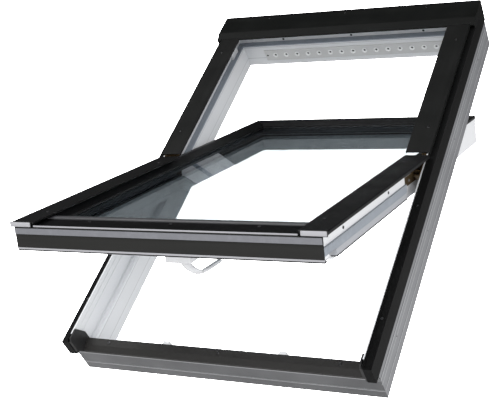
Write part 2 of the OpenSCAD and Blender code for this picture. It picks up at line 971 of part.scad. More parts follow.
/* Glazing ----------------------------------------------------------------- */

glass_x = wall_in - glass_gap;
glass_high_y = wall_in_y - glass_gap;
glass_low_y = low_wall_y + glass_gap;

module pane(z) {
    color(glass_tint)
        sash_pose()
            block([-glass_x, glass_low_y, z], [glass_x, glass_high_y, z + pane_t]);
}

// A ring that follows the glass edge, from edge to edge + w inside it.
module glass_ring(edge, w, z0, z1) {
    translate([0, 0, z0])
        linear_extrude(z1 - z0)
            difference() {
                rect(-glass_x + edge, glass_low_y + edge, glass_x - edge, glass_high_y - edge);
                rect(-glass_x + edge + w, glass_low_y + edge + w,
                     glass_x - edge - w, glass_high_y - edge - w);
            }
}

module pane_spacer() {
    color(steel_grey)
        sash_pose()
            glass_ring(3, spacer_w, inner_pane_z + pane_t, outer_pane_z);
}

bead_seal_h = 2.5;
glass_gasket_edge = 3;
glass_gasket_w = 10;

module glass_gaskets() {
    color(rubber_dark)
        sash_pose() {
            glass_ring(glass_gasket_edge, glass_gasket_w, glass_seat_z, inner_pane_z);
            glass_ring(glass_gasket_edge, glass_gasket_w, glass_top_z, glass_top_z + bead_seal_h);
        }
}

bead_w = 32;
bead_z = sash_wall_z + 9;
bead_foot_z = glass_top_z + bead_seal_h;
bead_edge_z = bead_foot_z + 3;
bead_foot_w = 12;
bead_in = sash_half_w - bead_w;
bead_flat = 11;
bead_turn = 2;

// Section of the side and top glazing beads, drawn for the right side.
module bead_section() {
    t = sheet_t;
    flat_x = sash_half_w - bead_turn;
    polygon([[sash_half_w, sash_wall_z], [sash_half_w, bead_z - bead_turn], [flat_x, bead_z],
             [flat_x - bead_flat, bead_z], [bead_in, bead_edge_z], [bead_in, bead_foot_z],
             [bead_in + bead_foot_w, bead_foot_z], [bead_in + bead_foot_w, bead_foot_z + t],
             [bead_in + 2 * t, bead_foot_z + t], [bead_in + 2 * t, bead_edge_z + t / 4],
             [flat_x - bead_flat + t / 2, bead_z - t], [flat_x - t / 2, bead_z - t],
             [sash_half_w - t, bead_z - bead_turn - t / 2], [sash_half_w - t, sash_wall_z]]);
}

sash_slant = sash_half_h - sash_half_w;

module glazing_bead_side(side) {
    color(cladding_black)
        sash_pose()
            on_side(side)
                difference() {
                    run_y(low_bead_in, sash_half_h) bead_section();
                    translate([0, 0, glass_top_z])
                        linear_extrude(2 * bead_w)
                            polygon([[0, sash_slant], [frame_w, sash_slant + frame_w],
                                     [0, sash_slant + frame_w]]);
                    bead_screw_places() screw_hole();
                    lower_screw_places() screw_hole();
                }
}

module glazing_bead_top() {
    color(cladding_black)
        sash_pose()
            intersection() {
                run_x(-sash_half_w, sash_half_w) translate([sash_slant, 0]) bead_section();
                translate([0, 0, glass_top_z])
                    linear_extrude(2 * bead_w)
                        polygon([[0, sash_slant], [frame_w, sash_slant + frame_w],
                                 [-frame_w, sash_slant + frame_w]]);
            }
}

low_bead_in = glass_low_y + 20;
low_bead_out = low_wall_y - 8;
low_bead_z = sash_wall_z + 3;
low_bead_r = low_bead_z - bead_foot_z;

// Rounded bead along the lower edge of the glass.
module glazing_bead_bottom() {
    arc_y = low_bead_in - low_bead_r;
    color(cladding_black)
        sash_pose()
            run_x(-wall_in, wall_in) {
                difference() {
                    union() {
                        translate([arc_y, bead_foot_z]) circle(r = low_bead_r, $fn = 64);
                        rect(low_bead_out, sash_wall_z, arc_y, low_bead_z);
                    }
                    translate([arc_y, bead_foot_z]) circle(r = low_bead_r - sheet_t, $fn = 64);
                    rect(low_bead_out + sheet_t, bead_foot_z - past, arc_y, low_bead_z - sheet_t);
                    rect(low_bead_out - past, bead_foot_z - 2 * low_bead_r, low_bead_in + past, bead_foot_z);
                    rect(arc_y - low_bead_r - past, bead_foot_z - past, arc_y, sash_wall_z);
                }
                rect(low_bead_in - bead_foot_w, bead_foot_z, low_bead_in - past, bead_foot_z + sheet_t);
            }
}

bead_screw_x = sash_half_w - bead_turn - bead_flat / 2;
bead_screw_y = [pivot_y + 110, sash_half_h - 90];

module bead_screw_places() {
    for (y = bead_screw_y)
        translate([bead_screw_x, y, bead_z]) children();
}

/* Sash cladding ----------------------------------------------------------- */

lower_screw_x = bead_screw_x;
lower_screw_y = [rail_face_y + 83, lower_cover_end - 74];
lower_leg_gap = 2.2;
strip_leg_x = strip_out - 2 * sheet_t;

module lower_screw_places() {
    for (y = lower_screw_y)
        translate([lower_screw_x, y, cover_z]) children();
}

module lower_cover(side) {
    color(cladding_black)
        sash_pose()
            on_side(side)
                difference() {
                    union() {
                        run_y(rail_face_y, lower_cover_end) cover_plate();
                        run_y(low_bead_in, lower_cover_end)
                            for (x = [lower_screw_x - lower_leg_gap - sheet_t,
                                      lower_screw_x + lower_leg_gap])
                                rect(x, bead_z, x + sheet_t, cover_under + past);
                        run_y(low_bead_out, strip_high_y)
                            rect(strip_leg_x, strip_top_z, strip_leg_x + sheet_t, cover_under + past);
                    }
                    lower_screw_places() screw_hole();
                }
}

cover_end_t = 4;
cover_end_h = 11.5;

// Light end cap on the lower end of a side cover.
module cover_end(side) {
    color(cap_grey)
        sash_pose()
            on_side(side)
                block([cover_in, rail_face_y - cover_end_t, cover_z - cover_end_h],
                      [cover_out, rail_face_y, cover_z]);
}

fascia_half_l = wall_x - past;
fascia_low_z = over_z - 9.5;
fascia_top_z = sash_wall_z + 4;
fascia_lip_z = fascia_top_z + 5;
fascia_ribs = [rail_face_y + 24, low_bead_out - 6];

module sash_fascia() {
    color(cladding_black)
        sash_pose()
            difference() {
                union() {
                    run_x(-fascia_half_l, fascia_half_l) {
                        rect(fascia_y, fascia_low_z, rail_face_y, fascia_top_z);
                        rect(fascia_y, fascia_low_z, nose_y, fascia_low_z + sheet_t);
                    }
                    run_x(-sill_clad_half_l, sill_clad_half_l)
                        rect(fascia_y, fascia_top_z - sheet_t, low_bead_out - past, fascia_top_z);
                    run_x(-strip_out + wall_t, strip_out - wall_t)
                        for (y = fascia_ribs)
                            rect(y, sash_wall_z, y + sheet_t, fascia_top_z);
                    run_x(-cover_in + past, cover_in - past)
                        rect(fascia_y, fascia_top_z - past, rail_face_y, fascia_lip_z);
                }
                fascia_screw_places() screw_hole();
            }
}

fascia_screw_x = [-0.265 * frame_w, 0, 0.265 * frame_w];
fascia_screw_y = low_bead_out - 12;

module fascia_screw_places() {
    for (x = fascia_screw_x)
        translate([x, fascia_screw_y, fascia_top_z]) children();
}

fascia_seal_z0 = 118.5;
fascia_seal_z1 = 131.5;
fascia_seal_t = 2.5;

module fascia_gasket() {
    color(seal_grey)
        sash_pose()
            block([-fascia_half_l + past, fascia_y - fascia_seal_t, fascia_seal_z0],
                  [fascia_half_l - past, fascia_y, fascia_seal_z1]);
}

/* Handle and lock --------------------------------------------------------- */

base_left = 43;
base_right = 22;
base_half_w = 17.5;
base_h = 28;
base_z = sash_z - base_h;
base_edge_r = 5;
key_hole_r = 2.5;

module handle_base() {
    low = [handle_x - base_left, shaft_y - base_half_w];
    high = [handle_x + base_right, shaft_y + base_half_w];
    color(pvc_white)
        sash_pose()
            difference() {
                translate([0, 0, base_z])
                    linear_extrude(base_h)
                        union() {
                            rect(low[0] + base_edge_r, low[1], high[0] - base_edge_r, high[1]);
                            rect(low[0], low[1] + base_edge_r, high[0], high[1] - base_edge_r);
                            for (x = [low[0] + base_edge_r, high[0] - base_edge_r],
                                 y = [low[1] + base_edge_r, high[1] - base_edge_r])
                                translate([x, y]) circle(r = base_edge_r, $fn = 32);
                        }
                translate([handle_x, shaft_y, base_z - past])
                    cylinder(r = shaft_r + shaft_gap, h = base_h + 2 * past, $fn = 64);
                translate([handle_x - 0.65 * base_left, shaft_y, base_z - past])
                    cylinder(r = key_hole_r, h = 0.5 * base_h, $fn = 32);
            }
}

hub_r = 12;
hub_h = 8;
hub_gap = 0.3;
neck_half_w = 8;
grip_x = handle_x + 28;
grip_z = 0;
grip_t = 10;
grip_w = 14;
grip_groove_w = 8;
grip_groove_d = 3;
grip_low_y = shaft_y - neck_half_w;
grip_high_y = grip_low_y + grip_l;

// The lever points up the slope when it is unlocked.
module handle_lever() {
    hub_z = base_z - hub_gap;
    color(pvc_white)
        sash_pose()
            difference() {
                union() {
                    translate([handle_x, shaft_y, hub_z - hub_h]) cylinder(r = hub_r, h = hub_h, $fn = 64);
                    run_y(shaft_y - neck_half_w, shaft_y + neck_half_w)
                        polygon([[handle_x - hub_r, hub_z - hub_h / 2],
                                 [handle_x + hub_r, hub_z - hub_h / 2],
                                 [grip_x + grip_w / 2, grip_z + grip_t], [grip_x + grip_w / 2, grip_z + 2],
                                 [grip_x + grip_w / 2 - 2, grip_z], [grip_x - grip_w / 2, grip_z],
                                 [handle_x - hub_r, hub_z - hub_h]]);
                    block([grip_x - grip_w / 2, grip_low_y, grip_z],
                          [grip_x + grip_w / 2, grip_high_y - grip_w / 2, grip_z + grip_t]);
                    translate([grip_x, grip_high_y - grip_w / 2, grip_z])
                        cylinder(r = grip_w / 2, h = grip_t, $fn = 48);
                }
                grip_channel(0);
                translate([handle_x, shaft_y, hub_z - hub_h - past])
                    cylinder(r = spindle_end_r, h = hub_h + 2 * past, $fn = 32);
            }
}

// Channel along the grip's sash side, smaller all round by the given margin.
module grip_channel(margin) {
    block([grip_x - grip_groove_w / 2 + margin, shaft_y + neck_half_w + grip_groove_w / 2 + margin,
           grip_z + grip_t - grip_groove_d],
          [grip_x + grip_groove_w / 2 - margin, grip_high_y - grip_w / 2 - margin,
           grip_z + grip_t + (margin > 0 ? -margin : past)]);
}

module grip_insert() {
    color(rubber_dark)
        sash_pose()
            grip_channel(fit_gap);
}

spindle_end_r = 4;
crank_z = sash_z + wall_t + 3;
crank_t = 4;
crank_pin_r = 2.5;
crank_pin_h = 13;
crank_start = 45;

// Shaft through the base, with the crank that shifts the lock bar.
module handle_spindle() {
    color(steel_grey)
        sash_pose()
            translate([handle_x, shaft_y, 0]) {
                translate([0, 0, base_z - hub_gap - hub_h]) cylinder(r = spindle_end_r, h = hub_h, $fn = 32);
                translate([0, 0, base_z - hub_gap])
                    cylinder(r = shaft_r, h = crank_z + crank_t - base_z + hub_gap, $fn = 64);
                rotate([0, 0, -crank_start]) {
                    block([-crank_end_r, -crank_r, crank_z], [crank_end_r, 0, crank_z + crank_t]);
                    translate([0, -crank_r, crank_z]) cylinder(r = crank_end_r, h = crank_t, $fn = 48);
                    translate([0, -crank_r, crank_z]) cylinder(r = crank_pin_r, h = crank_pin_h, $fn = 48);
                }
            }
}

fork_slot = crank_pin_r + 0.6;
fork_z0 = bar_z0 + 0.5;
fork_z1 = bar_z1 - 3;
fork_high_y = shaft_y - shaft_r;
pin_r = 3.5;
pin_l = 11;
unlocked_x = -lock_travel / 2;

// Flat bar in the lower face of the sash, with a fork for the crank and two pins.
module lock_bar() {
    color(steel_grey)
        sash_pose()
            translate([unlocked_x, 0, 0])
                union() {
                    block([-bar_half_l, bar_face_y, bar_z0], [bar_half_l, bar_face_y + bar_t, bar_z1]);
                    difference() {
                        block([handle_x - fork_half_w, bar_face_y + bar_t - past, fork_z0],
                              [handle_x + fork_half_w, fork_high_y, fork_z1]);
                        block([handle_x - fork_slot, bar_face_y + bar_t + past / 2, fork_z0 - past],
                              [handle_x + fork_slot, fork_high_y + past, fork_z1 + past]);
                    }
                    for (side = [-1, 1])
                        translate([side * pin_spacing / 2, bar_face_y + past, (bar_z0 + bar_z1) / 2])
                            facing_down_slope()
                                cylinder(r = pin_r, h = pin_l + past, $fn = 32);
                }
}

hook_t = 2.5;
hook_low_t = 2;
hook_l = 20;
hook_base_l = 34;
hook_y0 = sill_back_y + sheet_t + fit_gap / 2;
hook_y1 = -lining_y - 3;

// Hook on the sill's shoulder that a lock pin slides under.
module striker(side) {
    x0 = side * pin_spacing / 2 - 3;
    color(steel_grey)
        in_roof()
            difference() {
                union() {
                    block([x0, hook_y0, shoulder_z], [x0 + hook_base_l, hook_y1, shoulder_z + hook_low_t]);
                    block([x0 + hook_l - hook_t, hook_y0, shoulder_z], [x0 + hook_l, hook_y1, over_z - 1.5]);
                    block([x0 + 2, hook_y0, over_z - 1.5 - hook_t], [x0 + hook_l, hook_y1, over_z - 1.5]);
                }
                striker_screw_place(side) screw_hole();
            }
}

module striker_screw_place(side) {
    translate([side * pin_spacing / 2 + hook_base_l - 10, (hook_y0 + hook_y1) / 2, shoulder_z + hook_low_t])
        children();
}

/* Fasteners --------------------------------------------------------------- */

module cladding_screws() {
    color(steel_grey)
        in_roof() {
            hood_screw_places() screw();
            sill_screw_places() screw();
            for (side = [-1, 1])
                on_side(side) {
                    channel_screw_places() screw();
                    upper_screw_places() screw();
                }
        }
}

module frame_screws() {
    color(steel_grey)
        in_roof() {
            ledge_screw_places() screw();
            for (side = [-1, 1])
                striker_screw_place(side) screw();
            for (x = [-vent_screw_x, vent_screw_x])
                translate([x, lining_y, vent_z])
                    facing_down_slope()
                        cylinder(r = screw_head_r, h = screw_head_h, $fn = 32);
        }
}

module frame_hinge_screws() {
    color(steel_grey)
        in_roof()
            for (side = [-1, 1])
                on_side(side) frame_hinge_screw_places() screw();
}

module sash_screws() {
    color(steel_grey)
        sash_pose() {
            fascia_screw_places() screw();
            for (side = [-1, 1])
                on_side(side) {
                    lower_screw_places() screw();
                    bead_screw_places() screw();
                    strip_screw_places() screw();
                }
        }
}

module sash_hinge_screws() {
    color(steel_grey)
        sash_pose()
            for (side = [-1, 1])
                on_side(side) sash_hinge_screw_places() screw();
}

jamb(-1);  // frame_jamb_left
jamb(1);  // frame_jamb_right
frame_head();
frame_sill();
jamb_steel(-1);  // jamb_steel_left
jamb_steel(1);  // jamb_steel_right
side_channel(-1);  // side_channel_left
side_channel(1);  // side_channel_right
sill_cladding();
head_hood();
hood_supports();
upper_cover(-1);  // upper_cover_left
upper_cover(1);  // upper_cover_right
corner_block(-1);  // corner_block_left
corner_block(1);  // corner_block_right
frame_gasket();
vent_grille();
vent_filter();
side_stop();
frame_hinge(-1);  // frame_hinge_left
frame_hinge(1);  // frame_hinge_right
striker(-1);  // striker_left
striker(1);  // striker_right
cladding_screws();
frame_screws();
frame_hinge_screws();
sash_stile(-1);  // sash_stile_left
sash_stile(1);  // sash_stile_right
sash_top_rail();
sash_bottom_rail();
stile_steel(-1);  // stile_steel_left
stile_steel(1);  // stile_steel_right
side_strip(-1);  // side_strip_left
side_strip(1);  // side_strip_right
side_seal(-1);  // side_seal_left
side_seal(1);  // side_seal_right
sash_gasket();
pane(outer_pane_z);  // outer_pane
pane(inner_pane_z);  // inner_pane
pane_spacer();
glass_gaskets();
glazing_bead_side(-1);  // glazing_bead_left
glazing_bead_side(1);  // glazing_bead_right
glazing_bead_top();
glazing_bead_bottom();
lower_cover(-1);  // lower_cover_left
lower_cover(1);  // lower_cover_right
cover_end(-1);  // cover_end_left
cover_end(1);  // cover_end_right
sash_fascia();
fascia_gasket();
sash_hinge(-1);  // sash_hinge_left
sash_hinge(1);  // sash_hinge_right
sash_screws();
sash_hinge_screws();
handle_base();
handle_lever();
grip_insert();
handle_spindle();
lock_bar();
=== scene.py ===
"""Looks of a centre-pivot roof window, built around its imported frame.

The frame's nodes keep their meshes and get procedural finishes. The screws, the
handle, the side covers' caps and rims, the side strips' toes, the low bead's
crown and the air grille's cups are modelled here as new pieces.
"""

import json
import logging
import math
from collections.abc import Iterable, Sequence
from dataclasses import dataclass, field
from enum import Enum

import bmesh
import bpy
import numpy
from mathutils import Matrix, Vector


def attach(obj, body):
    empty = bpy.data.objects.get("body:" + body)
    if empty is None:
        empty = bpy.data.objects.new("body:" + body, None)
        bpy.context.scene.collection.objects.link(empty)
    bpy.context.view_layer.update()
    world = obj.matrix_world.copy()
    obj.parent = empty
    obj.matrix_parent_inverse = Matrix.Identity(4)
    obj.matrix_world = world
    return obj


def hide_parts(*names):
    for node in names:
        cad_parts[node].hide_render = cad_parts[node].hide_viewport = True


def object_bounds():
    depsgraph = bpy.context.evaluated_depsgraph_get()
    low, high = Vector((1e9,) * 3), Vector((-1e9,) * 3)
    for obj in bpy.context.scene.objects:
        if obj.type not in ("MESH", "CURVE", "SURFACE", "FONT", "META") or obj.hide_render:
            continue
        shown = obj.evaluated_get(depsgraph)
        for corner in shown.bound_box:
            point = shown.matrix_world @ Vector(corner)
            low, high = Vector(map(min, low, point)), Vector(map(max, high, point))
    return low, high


log = logging.getLogger("roof_window")
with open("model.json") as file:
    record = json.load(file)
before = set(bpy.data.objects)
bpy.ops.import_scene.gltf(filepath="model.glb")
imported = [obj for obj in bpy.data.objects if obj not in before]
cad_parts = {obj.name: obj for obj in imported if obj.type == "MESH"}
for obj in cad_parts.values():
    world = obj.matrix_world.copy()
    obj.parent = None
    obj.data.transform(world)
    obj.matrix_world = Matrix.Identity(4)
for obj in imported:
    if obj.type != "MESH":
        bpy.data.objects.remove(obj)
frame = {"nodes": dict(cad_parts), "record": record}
CAD_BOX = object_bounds()

Colour = tuple[float, float, float]


class Side(Enum):
    """Left or right half of the window, as seen from outside."""

    LEFT = -1
    RIGHT = 1


class Grain(Enum):
    """Direction in which an extruded or rolled piece was drawn."""

    ACROSS = "across"
    UP_ROOF = "up_roof"
    UP_SASH = "up_sash"


PITCH_DEGREES = 45.0
OPENING_DEGREES = 31.9
ROOF_PITCH = math.radians(PITCH_DEGREES)
SASH_TILT = math.radians(PITCH_DEGREES - OPENING_DEGREES)
# The turning axis: along the frame's and the sash's own axes, then in the row frame.
AXIS_Y = 0.002
AXIS_Z = 0.150
AXIS_PLACE = Vector(next(joint["pos_m"] for joint in frame["record"]["behaviour"]["joints"]
                         if joint["name"] == "sash_turn"))
DOWN_SLOPE = Vector((0.0, -1.0, -1.0))

# Sockets of a Mix node that blends colours.
FIRST_COLOUR, SECOND_COLOUR, BLENDED_COLOUR = 6, 7, 2
BEVEL_SAMPLES = 4
WELD = 1e-7


def outward(tilt: float) -> Vector:
    """Direction out of a slope.

    Args:
        tilt: Angle of the slope over the horizontal, in radians.

    Returns:
        A unit vector.
    """
    return Vector((0.0, -math.sin(tilt), math.cos(tilt)))


def shade(colour: Colour, factor: float, lift: float = 0.0) -> Colour:
    """A darker or lighter copy of a colour.

    Args:
        colour: The colour.
        factor: What each part is multiplied by.
        lift: What is then added to each part.

    Returns:
        The new colour.
    """
    return tuple(part * factor + lift for part in colour)


@dataclass(frozen=True)
class Speckle:
    """Settings of a noise: cells per metre, octaves, and how strong the finer ones are."""

    scale: float
    detail: float
    roughness: float = 0.5


# Shader maths


class Flow:
    """A node socket that does arithmetic on what it carries."""

    def __init__(self, graph: "Graph", socket: bpy.types.NodeSocket) -> None:
        """Wraps an output socket.

        Args:
            graph: The node tree that new Math nodes go into.
            socket: The output to wrap.
        """
        self.graph = graph
        self.socket = socket

    def _math(self, operation: str, *values: "Flow | float") -> "Flow":
        """Adds one Math node and returns its output."""
        return self.graph.flow("ShaderNodeMath", {"operation": operation}, dict(enumerate(values)))

    def __add__(self, other: "Flow | float") -> "Flow":
        """Sum."""
        return self._math("ADD", self, other)

    __radd__ = __add__

    def __sub__(self, other: "Flow | float") -> "Flow":
        """Difference."""
        return self._math("SUBTRACT", self, other)

    def __rsub__(self, other: "Flow | float") -> "Flow":
        """Difference, the other way round."""
        return self._math("SUBTRACT", other, self)

    def __mul__(self, other: "Flow | float") -> "Flow":
        """Product."""
        return self._math("MULTIPLY", self, other)

    __rmul__ = __mul__

    def __pow__(self, power: float) -> "Flow":
        """Power."""
        return self._math("POWER", self, power)

    def __gt__(self, limit: float) -> "Flow":
        """1 where the value is over the limit, and 0 elsewhere."""
        return self._math("GREATER_THAN", self, limit)

    def __abs__(self) -> "Flow":
        """Absolute value."""
        return self._math("ABSOLUTE", self)

    def bands(self, lines: Sequence[tuple[float, float]]) -> "Flow":
        """1 on any of some lines, and 0 elsewhere.

        Args:
            lines: Middle and half width of each.

        Returns:
            The lines' mask.
        """
        made = [(self > middle - half) * (1.0 - (self > middle + half)) for middle, half in lines]
        return sum(made[1:], made[0])

    def smooth(self, low: float, high: float) -> "Flow":
        """A soft step from 0 at low to 1 at high.

        Args:
            low: Value below which the result is 0.
            high: Value above which the result is 1.

        Returns:
            The stepped value.
        """
        return self.graph.flow(
            "ShaderNodeMapRange", {"interpolation_type": "SMOOTHSTEP"},
            {"Value": self, "From Min": low, "From Max": high},
        )


class Graph:
    """The node tree of a material, with a Principled shader, or of the world."""

    def __init__(self, owner: bpy.types.Material | bpy.types.World) -> None:
        """Takes the owner's tree.

        Args:
            owner: The material or world.
        """
        owner.use_nodes = True
        self.owner = owner
        self.tree = owner.node_tree
        self.shader = self.tree.nodes.get("Principled BSDF")
        self.output = self.tree.nodes.get("Material Output")
        self._object: Flow | None = None

    def node(self, kind: str, settings: dict | None = None,
             inputs: dict | None = None) -> bpy.types.Node:
        """Adds a node.

        Args:
            kind: The node's type.
            settings: Properties to set first; "stops" sets a ramp's stops.
            inputs: Values or flows for its sockets, by name or number.

        Returns:
            The new node.
        """
        made = self.tree.nodes.new(kind)
        for key, value in (settings or {}).items():
            if key == "stops":
                self._ramp(made.color_ramp, value)
            else:
                setattr(made, key, value)
        for key, value in (inputs or {}).items():
            self.feed(made.inputs[key], value)
        return made

    def flow(self, kind: str, settings: dict | None = None, inputs: dict | None = None,
             output: str | int = 0) -> Flow:
        """Adds a node and returns one of its outputs.

        Args:
            kind: The node's type.
            settings: Properties to set first.
            inputs: Values or flows for its sockets.
            output: The output's name or number.

        Returns:
            The wrapped output.
        """
        return Flow(self, self.node(kind, settings, inputs).outputs[output])

    @staticmethod
    def _ramp(ramp: bpy.types.ColorRamp, stops: Sequence[tuple[float, Colour]]) -> None:
        """Gives a colour ramp its stops."""
        while len(ramp.elements) < len(stops):
            ramp.elements.new(1.0)
        for element, (place, colour) in zip(ramp.elements, stops):
            element.position = place
            element.color = (*colour, 1.0)

    def feed(self, socket: bpy.types.NodeSocket, value: "Flow | float | Sequence[float]") -> None:
        """Links a flow to a socket, or sets the socket's own value."""
        if isinstance(value, Flow):
            self.tree.links.new(value.socket, socket)
        elif socket.type == "RGBA" and len(value) == 3:
            socket.default_value = (*value, 1.0)
        else:
            socket.default_value = value

    def surface(self, **sockets: "Flow | float | Sequence[float]") -> None:
        """Feeds the Principled shader; Base_Color stands for Base Color."""
        for key, value in sockets.items():
            self.feed(self.shader.inputs[key.replace("_", " ")], value)

    @property
    def place(self) -> Flow:
        """The point's place in the row frame, in metres."""
        if self._object is None:
            self._object = self.flow("ShaderNodeTexCoord", output="Object")
        return self._object

    def stretched(self, grain: Grain, along: float) -> Flow:
        """Place, drawn out along a piece's grain.

        Args:
            grain: Direction of the draw.
            along: Scale along it, where 1 is no stretch.

        Returns:
            The mapped place.
        """
        tilt = {Grain.ACROSS: 0.0, Grain.UP_ROOF: -ROOF_PITCH, Grain.UP_SASH: -SASH_TILT}[grain]
        turned = self.flow("ShaderNodeMapping", {"vector_type": "POINT"},
                           {"Vector": self.place, "Rotation": (tilt, 0.0, 0.0)})
        scale = (along, 1.0, 1.0) if grain is Grain.ACROSS else (1.0, along, 1.0)
        return self.flow("ShaderNodeMapping", {}, {"Vector": turned, "Scale": scale})

    def noise(self, speckle: Speckle, at: Flow | None = None) -> Flow:
        """Noise from 0 to 1.

        Args:
            speckle: The noise's settings.
            at: Where it is read, or None for the row frame.

        Returns:
            The noise value.
        """
        return self.flow("ShaderNodeTexNoise", {},
                         {"Vector": at or self.place, "Scale": speckle.scale,
                          "Detail": speckle.detail, "Roughness": speckle.roughness})

    def mix(self, share: "Flow | float", first: "Flow | Colour", second: "Flow | Colour") -> Flow:
        """Blends two colours.

        Args:
            share: 0 gives the first and 1 the second.
            first: A colour.
            second: A colour.

        Returns:
            The blended colour.
        """
        made = self.node("ShaderNodeMix", {"data_type": "RGBA"})
        self.feed(made.inputs["Factor"], share)
        self.feed(made.inputs[FIRST_COLOUR], first)
        self.feed(made.inputs[SECOND_COLOUR], second)
        return Flow(self, made.outputs[BLENDED_COLOUR])

    def split(self, vector: Flow) -> tuple[Flow, Flow, Flow]:
        """The three parts of a vector."""
        made = self.node("ShaderNodeSeparateXYZ", {}, {0: vector})
        return tuple(Flow(self, out) for out in made.outputs)

    def dot(self, first: Flow, second: "Flow | Sequence[float]") -> Flow:
        """Dot product of two vectors."""
        return self.flow("ShaderNodeVectorMath", {"operation": "DOT_PRODUCT"},
                         {0: first, 1: second}, output="Value")

    def geometry(self, output: str) -> Flow:
        """What the Geometry node gives under a name, such as True Normal."""
        return self.flow("ShaderNodeNewGeometry", output=output)

    @property
    def base_colour(self) -> Flow:
        """What feeds Base Color so far."""
        return Flow(self, self.shader.inputs["Base Color"].links[0].from_socket)

    def end_with(self, share: Flow, first: bpy.types.Node, second: bpy.types.Node) -> None:
        """Ends the tree with a mix of two shaders.

        Args:
            share: 0 gives the first and 1 the second.
            first: A shader's node.
            second: A shader's node.
        """
        mixed = self.node("ShaderNodeMixShader", {}, {0: share})
        self.tree.links.new(first.outputs[0], mixed.inputs[1])
        self.tree.links.new(second.outputs[0], mixed.inputs[2])
        self.tree.links.new(mixed.outputs[0], self.output.inputs["Surface"])

    def level(self, tilt: float) -> Flow:
        """Height along a tilted body's outward axis, in its own metres.

        Args:
            tilt: Angle of the body's slope over the horizontal.

        Returns:
            The height.
        """
        out = outward(tilt)
        return self.dot(self.place, tuple(out)) + (AXIS_Z - out.dot(AXIS_PLACE))

    def rounded(self, radius: float) -> Flow:
        """A normal that rounds sharp edges off by the given radius."""
        return self.flow("ShaderNodeBevel", {"samples": BEVEL_SAMPLES}, {"Radius": radius})

    def edges(self, soft_normal: Flow, low: float, high: float) -> Flow:
        """A mask of edges, rubbed bare and painted with a highlight, from how far a rounded normal
        turns.

        Args:
            soft_normal: What rounded() gave.
            low: Turn at which the rubbing and painted highlight start.
            high: Turn at which it is full.

        Returns:
            The mask, 0 to 1.
        """
        turned = 1.0 - self.dot(soft_normal, self.geometry("True Normal"))
        return turned.smooth(low, high)

    def bump(self, height: Flow, depth: float, strength: float = 1.0,
             normal: Flow | None = None) -> Flow:
        """Relief on the surface.

        Args:
            height: The relief, 0 to 1.
            depth: Its height in metres.
            strength: How much of it shows.
            normal: The normal it starts from.

        Returns:
            The new normal.
        """
        inputs: dict = {"Height": height, "Distance": depth, "Strength": strength}
        if normal is not None:
            inputs["Normal"] = normal
        return self.flow("ShaderNodeBump", {}, inputs)


# Finishes


@dataclass(frozen=True)
class Finish:
    """A surface finish; build() makes its material once."""

    name: str

    def build(self) -> bpy.types.Material:
        """Returns the material, making it on first use."""
        found = bpy.data.materials.get(self.name)
        if found is not None:
            return found
        graph = Graph(bpy.data.materials.new(self.name))
        self.paint(graph)
        return graph.owner

    def paint(self, graph: Graph) -> None:
        """Fills the node tree."""
        raise NotImplementedError


DRAW_MARKS = Speckle(420.0, 2.0)
PVC_CLOUD = Speckle(7.0, 4.0)
PVC_GRIT = Speckle(160.0, 5.0, 0.65)
ORANGE_PEEL = Speckle(1400.0, 2.0)
DUST_CLOUD = Speckle(9.0, 5.0, 0.6)
RUN_OFF = Speckle(60.0, 4.0, 0.6)
ROLLED_GRAIN = Speckle(500.0, 3.0)
BRUSHED_GRAIN = Speckle(900.0, 3.0)
STAIN_SPOTS = Speckle(120.0, 5.0, 0.7)
RUBBER_BLOOM = Speckle(70.0, 5.0, 0.6)
RUBBER_GRAIN = Speckle(1800.0, 2.0)
TOOL_TEXTURE = Speckle(1100.0, 3.0, 0.6)
PLASTIC_CLOUD = Speckle(18.0, 3.0)
GLASS_DIRT = Speckle(260.0, 6.0, 0.75)

GROOVE_SHADE: Colour = (0.10, 0.10, 0.11)
GRIME: Colour = (0.30, 0.28, 0.25)
DUST: Colour = (0.20, 0.20, 0.195)
# Colour of edges: partly rubbed bare, partly a painted highlight.
RUBBED_EDGE_AND_HIGHLIGHT: Colour = (0.16, 0.16, 0.165)

# Where the jambs' side faces begin, from the middle, and where the sill's lower face, painted in
# shade, ends.
SIDE_FACE = (0.3880, 0.3886)
SILL_FOOT_SHADE = (0.0008, 0.0016)
# Middle and half width of the die's ribs, painted as highlight lines, and of its grooves, painted
# as shade lines, by height out of the roof's slope.
RIB_HIGHLIGHT_LINES = ((0.0245, 0.0008), (0.0640, 0.0008))
SIDE_RIB_HIGHLIGHT_LINES = ((0.0500, 0.0007),)
GROOVE_SHADE_LINES = ((0.0270, 0.0009), (0.0665, 0.0009))
SIDE_GROOVE_SHADE_LINES = ((0.0520, 0.0008), (0.0780, 0.0008))


